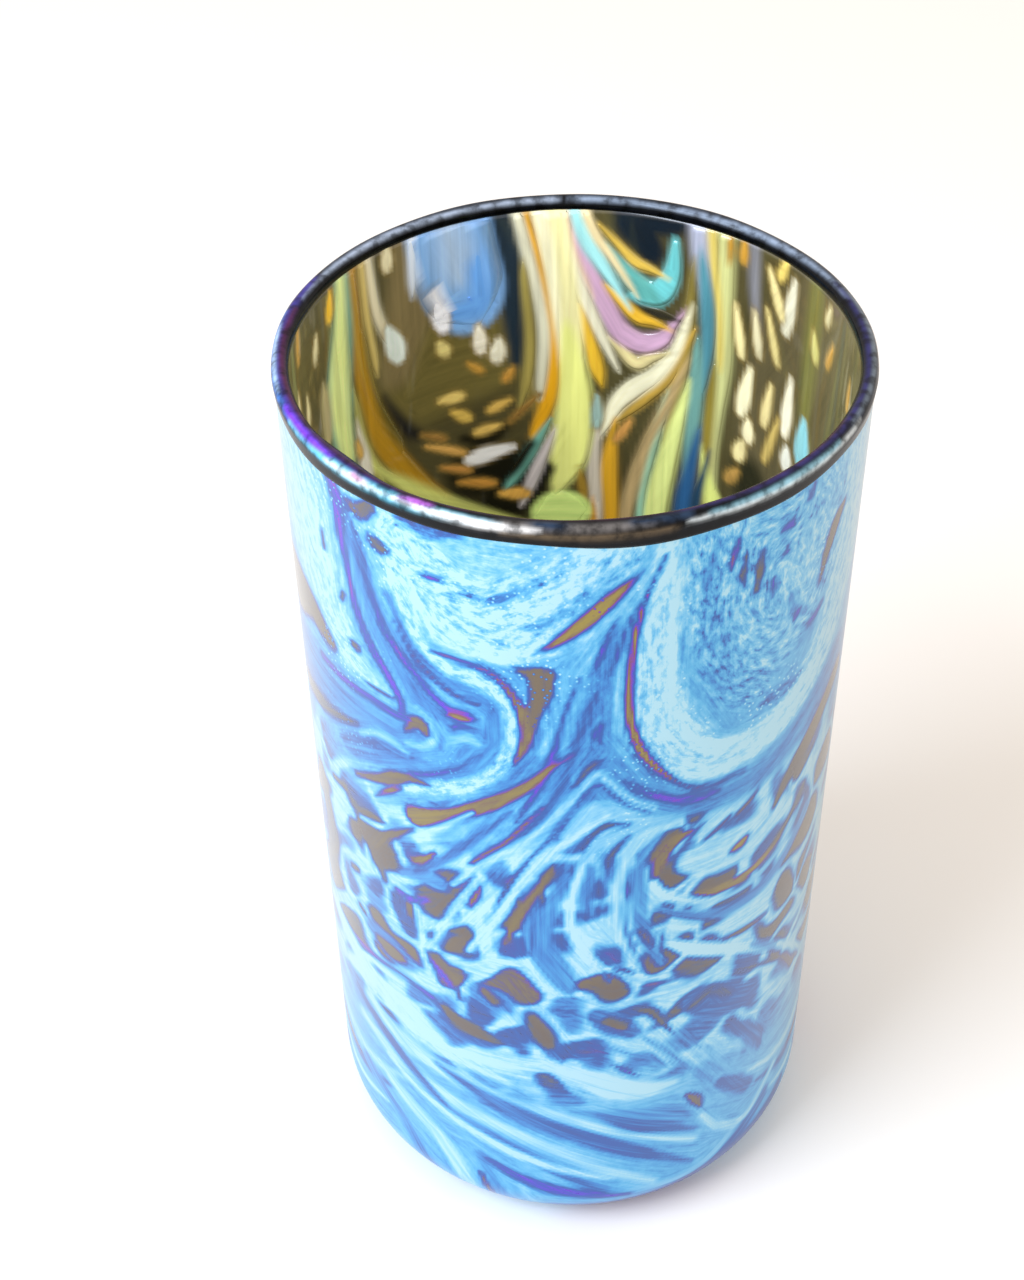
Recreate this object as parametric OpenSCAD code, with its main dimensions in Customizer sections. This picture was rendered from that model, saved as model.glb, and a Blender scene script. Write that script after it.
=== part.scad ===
// Hand blown art glass vase: a straight cylinder with a rounded heel.
// The front of the vase faces -Y. Turning angles are degrees round the axis from the front,
// and grow towards +X. The origin is the centre of the foot, on the surface it stands on.

/* [Body] */
// Outside diameter of the wall
body_d = 89; // [80:0.5:100]
// Overall height, foot to top of lip
body_h = 167; // [166:1:200]
// Radius of the rounded heel between foot and wall
heel_r = 12; // [10:0.5:16]

/* [Glass layers] */
// Thickness of the lustred outer layer
overlay_t = 0.9; // [0.8:0.05:1]
// Thickness of the inner gather at the wall
gather_t = 1.2; // [1.1:0.05:1.3]
// Thickness of the whole floor at its middle
floor_t = 7; // [5:0.5:10]
// How deep chips and trails are marvered into the gather
inlay_t = 0.6; // [0.4:0.05:0.8]

/* [Lip] */
// Diameter of the thread wrapped round the lip
lip_d = 2.7; // [2.5:0.05:3]
// Diameter of the thread's thinner end, where it laps over its start
lap_d = 2.1; // [1.8:0.05:2.2]
// How far the lapped end lies inside the start
lap_shift = 0.9; // [0.7:0.05:1.1]
// Angle of the lap's middle
lap_angle = -50; // [-180:1:180]
// Length of the lap, as an angle
lap_span = 18; // [10:1:30]

/* [Foot] */
// Diameter of the ground and polished pontil hollow
pontil_d = 32; // [26:1:40]
// Depth of the hollow at its middle
pontil_depth = 1.4; // [1.2:0.1:2]

/* [Hidden] */
$fn = 96;

body_r = body_d / 2;
gather_r = body_r - overlay_t;
bore_r = gather_r - gather_t;
bore_heel_r = heel_r - 3;

// The lip thread's flattened underside is as wide as the end of the wall.
lip_r = lip_d / 2;
lip_ring_r = (body_r + bore_r) / 2;
lip_z = body_h - lip_r;
press_drop = sqrt(pow(lip_r, 2) - pow((body_r - bore_r) / 2, 2));
wall_top = lip_z - press_drop;
// A hairline between the lap and the rest of the thread, as an angle
seam_angle = 0.03;

pontil_ball_r = (pow(pontil_d / 2, 2) + pow(pontil_depth, 2)) / (2 * pontil_depth);

// Inlay prisms start this far inside the ring that trims them, and end as far outside it.
prism_slack = 2;
prism_inner = gather_r - inlay_t - prism_slack;
prism_outer = gather_r + prism_slack;
ribbon_steps = 14;

// Trails: [angle at the top, top height, angle at the foot, foot height, width, bow].
// The bow is how many degrees the middle swings to the side.
LIME = [
    [180, 162, 178, 110, 6.5, 0], [152, 128, 155, 84, 4.5, 1], [184, 104, 184, 92, 8, 0],
    [244, 160, 240, 136, 5, 1], [225, 122, 205, 100, 4, 2], [88, 160, 84, 96, 5, -1],
    [20, 150, 24, 88, 6, 3], [-40, 158, -46, 104, 6, -2], [300, 90, 304, 58, 5, 0]];
AMBER = [
    [168, 162, 172, 118, 3, 1], [189, 160, 190, 112, 3.2, 2], [234, 150, 230, 112, 3.6, 3],
    [161, 108, 164, 70, 3.2, 1], [172, 106, 173, 68, 3.4, 0], [100, 158, 96, 104, 3, 1],
    [36, 154, 40, 96, 3.4, -1], [-24, 160, -28, 100, 3.6, -2]];
TEAL = [
    [146, 162, 146, 106, 3.6, -1.5], [140, 134, 138, 100, 2.4, 0], [8, 140, 4, 84, 3.4, 1],
    [-58, 150, -62, 90, 3.2, -1], [70, 150, 66, 100, 3, 1]];
LILAC = [[160, 158, 166, 136, 3.2, -2.5], [52, 140, 56, 110, 3, 2]];

// Pools: [angle, height, width, length].
BLUE = [[206, 153, 14, 20], [-10, 128, 12, 24]];

// Chips: [angle, height, length, width, tilt], tilt 0 being upright.
CREAM = [
    [109, 158, 7, 2.4, 4], [113, 146, 8, 2.6, -6], [118, 136, 7, 2.2, 0], [122, 150, 9, 2.4, 6],
    [126, 128, 8, 2.6, 3], [130, 140, 8, 2.2, -4], [134, 120, 6, 2.2, 0], [114, 124, 6, 2.4, 2],
    [196, 139, 5, 2.2, 10], [199, 131, 4, 2.2, 40], [205, 127, 6, 2.2, 70], [212, 131, 5, 2.4, 60],
    [204, 118, 7, 2.4, 80], [213, 121, 6, 2.2, 65], [197, 112, 5, 2.2, 100], [218, 144, 7, 2.4, -10],
    [252, 150, 7, 2.6, 4], [258, 138, 8, 2.4, 0], [264, 154, 7, 2.2, -5], [270, 142, 8, 2.6, 5],
    [276, 156, 7, 2.2, 0], [282, 134, 7, 2.4, 6], [290, 148, 8, 2.4, 0], [254, 122, 6, 2.4, 12]];
WHITE = [
    [119, 160, 7, 2.8, -3], [128, 158, 6, 2.4, 0], [107, 134, 8, 2.6, 2], [198, 101, 8, 3.6, 85],
    [222, 152, 9, 3.4, 8], [213, 109, 6, 2.4, 60], [262, 124, 7, 3, 0], [274, 128, 8, 2.8, 4],
    [286, 160, 6, 2.6, 0], [296, 132, 8, 3, -4], [28, 132, 7, 3, 0], [60, 156, 8, 2.8, 6]];
AMBER_BITS = [
    [111, 116, 5, 2.2, 0], [124, 114, 5, 2.4, 5], [133, 110, 5, 2, -5], [209, 114, 6, 2.2, 75],
    [194, 122, 5, 2.2, 30], [248, 106, 6, 2.4, 0], [268, 112, 6, 2.2, 8], [280, 118, 6, 2.4, -6]];

// The vase's solid half section, from the axis out to radius r and up to height top.
module cup_section(r, heel, z, top)
{
    translate([0, z]) square([r - heel, top - z]);
    translate([0, z + heel]) square([r, top - z - heel]);
    translate([r - heel, z + heel]) circle(heel);
}

// The shallow hollow that the ground and polished pontil leaves in the foot.
module pontil_hollow()
{
    translate([0, 0, pontil_depth - pontil_ball_r]) sphere(pontil_ball_r);
}

// A flat outline turned up to face outwards at the given angle and height, and given depth.
module facing(angle, z)
{
    rotate([0, 0, angle])
        translate([0, -prism_inner, z])
            rotate([90, 0, 0])
                linear_extrude(prism_outer - prism_inner) children();
}

// The ring of glass that chips and trails are pressed into.
module inlay_ring()
{
    difference()
    {
        cylinder(r = gather_r, h = wall_top);
        translate([0, 0, -1]) cylinder(r = gather_r - inlay_t, h = wall_top + 2);
    }
}

// A chip's pointed outline, where two equal arcs cross.
module chip_outline(length, width)
{
    arc_r = (pow(length, 2) + pow(width, 2)) / (4 * width);
    intersection()
    {
        translate([arc_r - width / 2, 0]) circle(arc_r);
        translate([width / 2 - arc_r, 0]) circle(arc_r);
    }
}

module chip_prisms(chips)
{
    for (c = chips) facing(c[0], c[1]) rotate(c[4]) chip_outline(c[2], c[3]);
}

// A trail's outline follows a bowed line and thins to a blunt tip at both ends.
function trail_x(t, half_run, bow) = half_run * (2 * t - 1) + bow * sin(180 * t);
function trail_half_w(t, width) = width / 2 * pow(sin(12 + 156 * t), 0.6);
function trail_side(t, trail, side) =
    let (run = (trail[2] - trail[0]) * PI / 180 * gather_r)
    let (bow = trail[5] * PI / 180 * gather_r)
    let (rise = trail[1] - trail[3])
    [trail_x(t, run / 2, bow) + side * trail_half_w(t, trail[4]), rise * (0.5 - t)];

module trail_prisms(trails)
{
    for (trail = trails)
    {
        steps = [for (i = [0:ribbon_steps]) i / ribbon_steps];
        right = [for (t = steps) trail_side(t, trail, 1)];
        left = [for (t = steps) trail_side(1 - t, trail, -1)];
        facing((trail[0] + trail[2]) / 2, (trail[1] + trail[3]) / 2) polygon(concat(right, left));
    }
}

module pool_prisms()
{
    for (p = BLUE)
        facing(p[0], p[1])
        {
            translate([0, p[2] / 2 - p[3] / 2]) circle(p[2] / 2);
            translate([-p[2] / 2, p[2] / 2 - p[3] / 2]) square([p[2], p[3] - p[2]]);
            translate([0, p[3] / 2 - p[2] / 2]) circle(p[2] / 2);
        }
}

module inlaid()
{
    intersection()
    {
        inlay_ring();
        union() children();
    }
}

module all_inlays()
{
    trail_prisms(LIME);
    trail_prisms(AMBER);
    trail_prisms(TEAL);
    trail_prisms(LILAC);
    pool_prisms();
    chip_prisms(CREAM);
    chip_prisms(WHITE);
    chip_prisms(AMBER_BITS);
}

// First gather: the smoky olive cup, with pockets where the inlays are pressed in.
module inner_gather() color("darkolivegreen")
{
    difference()
    {
        rotate_extrude() difference()
        {
            cup_section(gather_r, heel_r - overlay_t, overlay_t, wall_top);
            cup_section(bore_r, bore_heel_r, floor_t, body_h);
        }
        inlaid() all_inlays();
        pontil_hollow();
    }
}

module lime_trails() color("yellowgreen") inlaid() trail_prisms(LIME);

module amber_trails() color("goldenrod") inlaid() trail_prisms(AMBER);

module teal_trails() color("teal") inlaid() trail_prisms(TEAL);

module lilac_trails() color("plum") inlaid() trail_prisms(LILAC);

module blue_pools() color("cornflowerblue") inlaid() pool_prisms();

module cream_chips() color("cornsilk") inlaid() chip_prisms(CREAM);

module white_chips() color("white") inlaid() chip_prisms(WHITE);

module amber_chips() color("orange") inlaid() chip_prisms(AMBER_BITS);

// Outer layer of silver-blue lustre glass, ground through at the pontil.
module lustre_overlay() color("skyblue")
{
    difference()
    {
        rotate_extrude() difference()
        {
            cup_section(body_r, heel_r, 0, wall_top);
            cup_section(gather_r, heel_r - overlay_t, overlay_t, body_h);
        }
        pontil_hollow();
    }
}

// The lip thread's section, pressed flat underneath.
module lip_section()
{
    difference()
    {
        translate([lip_ring_r, lip_z]) circle(lip_r);
        translate([bore_r - lip_d, wall_top - lip_d]) square([3 * lip_d, lip_d]);
    }
}

// Dark thread wrapped round the lip, with its thinner end lapped inside its start.
module lip_wrap() color("midnightblue")
{
    rotate([0, 0, lap_angle - 90 + lap_span / 2])
        rotate_extrude(angle = 360 - lap_span - seam_angle) lip_section();
    rotate([0, 0, lap_angle - 90 - lap_span / 2])
        rotate_extrude(angle = lap_span - seam_angle)
        {
            lip_section();
            translate([lip_ring_r - lap_shift, lip_z]) circle(lap_d / 2);
        }
}

inner_gather();
lime_trails();
amber_trails();
teal_trails();
lilac_trails();
blue_pools();
cream_chips();
white_chips();
amber_chips();
lustre_overlay();
lip_wrap();
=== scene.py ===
# %% [markdown]
# # A hand blown art glass vase
# The vase is a straight cylinder of thin glass. A smoky olive gather carries bits of coloured
# glass, a silver-blue lustre skin covers it, and a dark thread is wrapped round its lip.
# The frame holds the sizes, so every radius and height below is read from it.

# %% Frame
import math
import bpy
import numpy as np
from mathutils import Matrix, Vector


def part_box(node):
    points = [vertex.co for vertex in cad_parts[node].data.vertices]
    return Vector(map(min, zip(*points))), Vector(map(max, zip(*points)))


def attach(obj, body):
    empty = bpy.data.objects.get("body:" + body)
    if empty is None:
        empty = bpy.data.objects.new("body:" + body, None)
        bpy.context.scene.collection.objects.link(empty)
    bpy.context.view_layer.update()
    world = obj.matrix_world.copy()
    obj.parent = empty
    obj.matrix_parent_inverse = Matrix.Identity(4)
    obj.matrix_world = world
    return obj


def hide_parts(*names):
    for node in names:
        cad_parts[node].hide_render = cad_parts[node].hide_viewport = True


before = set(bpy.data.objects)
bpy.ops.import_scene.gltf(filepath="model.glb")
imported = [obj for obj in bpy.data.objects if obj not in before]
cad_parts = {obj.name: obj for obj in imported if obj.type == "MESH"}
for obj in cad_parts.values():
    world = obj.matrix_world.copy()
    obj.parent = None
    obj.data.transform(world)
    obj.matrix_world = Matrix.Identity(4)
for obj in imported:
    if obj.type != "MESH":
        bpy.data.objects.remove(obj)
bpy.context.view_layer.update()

MM = 0.001

# %% [markdown]
# ## Sizes
# The skin's box gives the outside radius and the height of the wall, the gather's box gives
# the radius where the two glasses meet, and the lip's box gives the height of the whole vase.

# %% Sizes read from the frame
NODES = ("lustre_overlay", "inner_gather", "lip_wrap")
skin_high, gather_high, lip_high = (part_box(node)[1] for node in NODES)
BODY_R = skin_high[0]
WALL_TOP = skin_high[2]
OVERLAY_T = BODY_R - gather_high[0]
GATHER_T = 1.2 * MM
BORE_R = BODY_R - OVERLAY_T - GATHER_T
HEEL_R = 12 * MM
FLOOR_T = 7 * MM
BORE_HEEL_R = 9 * MM
PONTIL_R = 16 * MM
PONTIL_DEPTH = 1.4 * MM
LIP_R = 1.35 * MM
LIP_RING_R = lip_high[0] - LIP_R
LIP_Z = lip_high[2] - LIP_R
print("wall radius", BODY_R, "bore radius", BORE_R, "lip height", LIP_Z)

# %% [markdown]
# ## Camera, light and floor
# A short telephoto lens looks down at the vase from in front, at about forty degrees. The
# light is a bright tent: an even white world with one large soft lamp at the upper left, so
# the shadow falls softly to the right and behind.

# %% Camera
RIM_UNIT = 44.9 * MM          # half the width of the lip, the unit of the camera's distances
EYE = Vector((-0.224, -5.548, 7.331)) * RIM_UNIT
PITCH = math.radians(41.58)
ROLL = math.radians(-1.23)
LENS_MM = 55.95
right = Vector((1, 0, 0))
up = Vector((0, math.sin(PITCH), math.cos(PITCH)))
back = Vector((0, -math.cos(PITCH), math.sin(PITCH)))
cam_right = right * math.cos(ROLL) + up * math.sin(ROLL)
cam_up = up * math.cos(ROLL) - right * math.sin(ROLL)
camera = bpy.data.objects.new("camera", bpy.data.cameras.new("camera"))
camera.data.lens = LENS_MM
camera.data.sensor_width = 36
camera.data.clip_start = 0.01
camera.data.dof.use_dof = False
turn = Matrix((cam_right, cam_up, back)).transposed().to_4x4()
camera.matrix_world = Matrix.Translation(EYE) @ turn
bpy.context.scene.collection.objects.link(camera)
bpy.context.scene.camera = camera


# %% Colours
def linear(hex_colour):
    """An sRGB hex colour as linear red, green, blue and alpha."""
    parts = [int(hex_colour[i:i + 2], 16) / 255 for i in (1, 3, 5)]
    parts = [c / 12.92 if c <= 0.04045 else ((c + 0.055) / 1.055) ** 2.4 for c in parts]
    return (*parts, 1.0)


# %% Light
LAMP_AIM = Vector((0, 0, 0.08))


def area_lamp(name, place, size, power, colour):
    """A square lamp that points at the middle of the vase."""
    lamp = bpy.data.lights.new(name, "AREA")
    lamp.size = size
    lamp.energy = power
    lamp.color = linear(colour)[:3]
    holder = bpy.data.objects.new(name, lamp)
    holder.location = place
    holder.rotation_euler = (LAMP_AIM - Vector(place)).to_track_quat("-Z", "Y").to_euler()
    bpy.context.scene.collection.objects.link(holder)


world = bpy.data.worlds.new("light tent")
world.use_nodes = True
world.node_tree.nodes["Background"].inputs["Color"].default_value = linear("#FFF4E9")
world.node_tree.nodes["Background"].inputs["Strength"].default_value = 0.95
bpy.context.scene.world = world
area_lamp("window", (-0.55, -0.35, 0.75), 0.5, 8.5, "#E6F1FF")
bpy.context.scene.view_settings.view_transform = "Standard"
print("lamp and world ready")


# %% Node helper
def add_node(tree, kind, links=None, **settings):
    """Adds one node. Settings name its properties or inputs, and links name what feeds an input."""
    node = tree.nodes.new(kind)
    for key, value in settings.items():
        if hasattr(node, key):
            setattr(node, key, value)
        else:
            node.inputs[key.replace("_", " ")].default_value = value
    for key, socket in (links or {}).items():
        tree.links.new(socket, node.inputs[key])
    return node


def new_material(name):
    material = bpy.data.materials.new(name)
    material.use_nodes = True
    tree = material.node_tree
    return material, tree, tree.nodes["Principled BSDF"]


def ramp(tree, source, stops):
    """A colour ramp. A stop's colour is an sRGB hex colour or one grey value."""
    node = add_node(tree, "ShaderNodeValToRGB", {"Fac": source})
    while len(node.color_ramp.elements) < len(stops):
        node.color_ramp.elements.new(0.5)
    for element, (place, colour) in zip(node.color_ramp.elements, stops):
        element.position = place
        element.color = linear(colour) if isinstance(colour, str) else (colour, colour, colour, 1)
    return node.outputs["Color"]


# %% Floor
def deselect():
    bpy.ops.object.select_all(action="DESELECT")


deselect()
bpy.ops.mesh.primitive_plane_add(size=12, location=(0, 0, 0))
floor = bpy.context.object
floor.name = "floor"
material, tree, shader = new_material("pale paper sweep")
shader.inputs["Base Color"].default_value = linear("#F8F7F5")
shader.inputs["Roughness"].default_value = 0.6
floor.data.materials.append(material)

# %% [markdown]
# ## Strokes of glass
# The marbling is drawn the way the maker combs it: stroke by stroke, in the order laid. A
# stroke is a smooth line through a few points, each with an angle round the vase, a height
# in millimetres and half a width. Where a stroke lies it pulls a value towards its own, and
# its soft edge leaves all the values between, which is where the colour fringes come from.

# %% Stroke tools
DEG_MM = math.radians(1) * BODY_R / MM      # millimetres of wall in one degree
PATH_STEPS = 8
COMB_REACH = 4.8                            # how far a stroke combs the glass beside it


def smooth_path(points):
    """A Catmull-Rom curve through (angle, height, half width) points, in millimetres."""
    knots = np.array([[a * DEG_MM, h, w] for a, h, w in points], float)
    if len(knots) == 1:
        return knots
    ends = [2 * knots[0] - knots[1], *knots, 2 * knots[-1] - knots[-2]]
    path = []
    for p0, p1, p2, p3 in zip(ends, ends[1:], ends[2:], ends[3:]):
        for t in np.arange(PATH_STEPS) / PATH_STEPS:
            path.append(0.5 * (2 * p1 + (p2 - p0) * t + (2 * p0 - 5 * p1 + 4 * p2 - p3) * t * t
                               + (3 * p1 - p0 - 3 * p2 + p3) * t ** 3))
    path.append(knots[-1])
    path = np.array(path)
    path[:, 2] = np.maximum(path[:, 2], 0.05)
    return path


def stroke_cover(x, h, path, soft):
    """The points (x, h) near a stroke: their index, how far they are covered, heading and gap."""
    reach = path[:, 2].max() + max(soft, COMB_REACH)
    near = ((x > path[:, 0].min() - reach) & (x < path[:, 0].max() + reach)
            & (h > path[:, 1].min() - reach) & (h < path[:, 1].max() + reach))
    index = np.nonzero(near)[0]
    if len(index) == 0:
        return index, np.zeros(0), np.zeros(0), np.zeros(0)
    px, ph = x[index], h[index]
    best = np.full(len(index), 1e9)
    heading = np.zeros(len(index))
    if len(path) == 1:
        best = np.hypot(px - path[0, 0], ph - path[0, 1]) - path[0, 2]
    for (x0, h0, w0), (x1, h1, w1) in zip(path[:-1], path[1:]):
        dx, dh = x1 - x0, h1 - h0
        t = np.clip(((px - x0) * dx + (ph - h0) * dh) / (dx * dx + dh * dh + 1e-9), 0, 1)
        gap = np.hypot(px - x0 - t * dx, ph - h0 - t * dh) - (w0 + t * (w1 - w0))
        closer = gap < best
        best = np.where(closer, gap, best)
        heading = np.where(closer, math.atan2(dh, dx), heading)
    s = np.clip((soft - best) / (2 * soft), 0, 1)
    return index, s * s * (3 - 2 * s), heading, best


print("one degree of wall is", round(DEG_MM, 3), "mm")

# %% [markdown]
# ## The skin's marbling
# Silver in the skin comes to the surface as a film, and its thickness sets the colour: bare
# taupe glass, then a hair of bronze, violet, royal blue, sky blue and pale cyan as it
# thickens. So the marbling is one value, the film, from 0 to 1. The strokes below are the
# pale swags, the combed feathers between them and the webbed glass near the foot.

# %% The skin's strokes
TAUPE, BROWN, VIOLET, ROYAL, AZURE, SKY, CYAN, PALE, WHITE = (
    0.04, 0.12, 0.25, 0.35, 0.46, 0.6, 0.76, 0.88, 0.98)
SOFT_EDGE = 0.45

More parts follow.
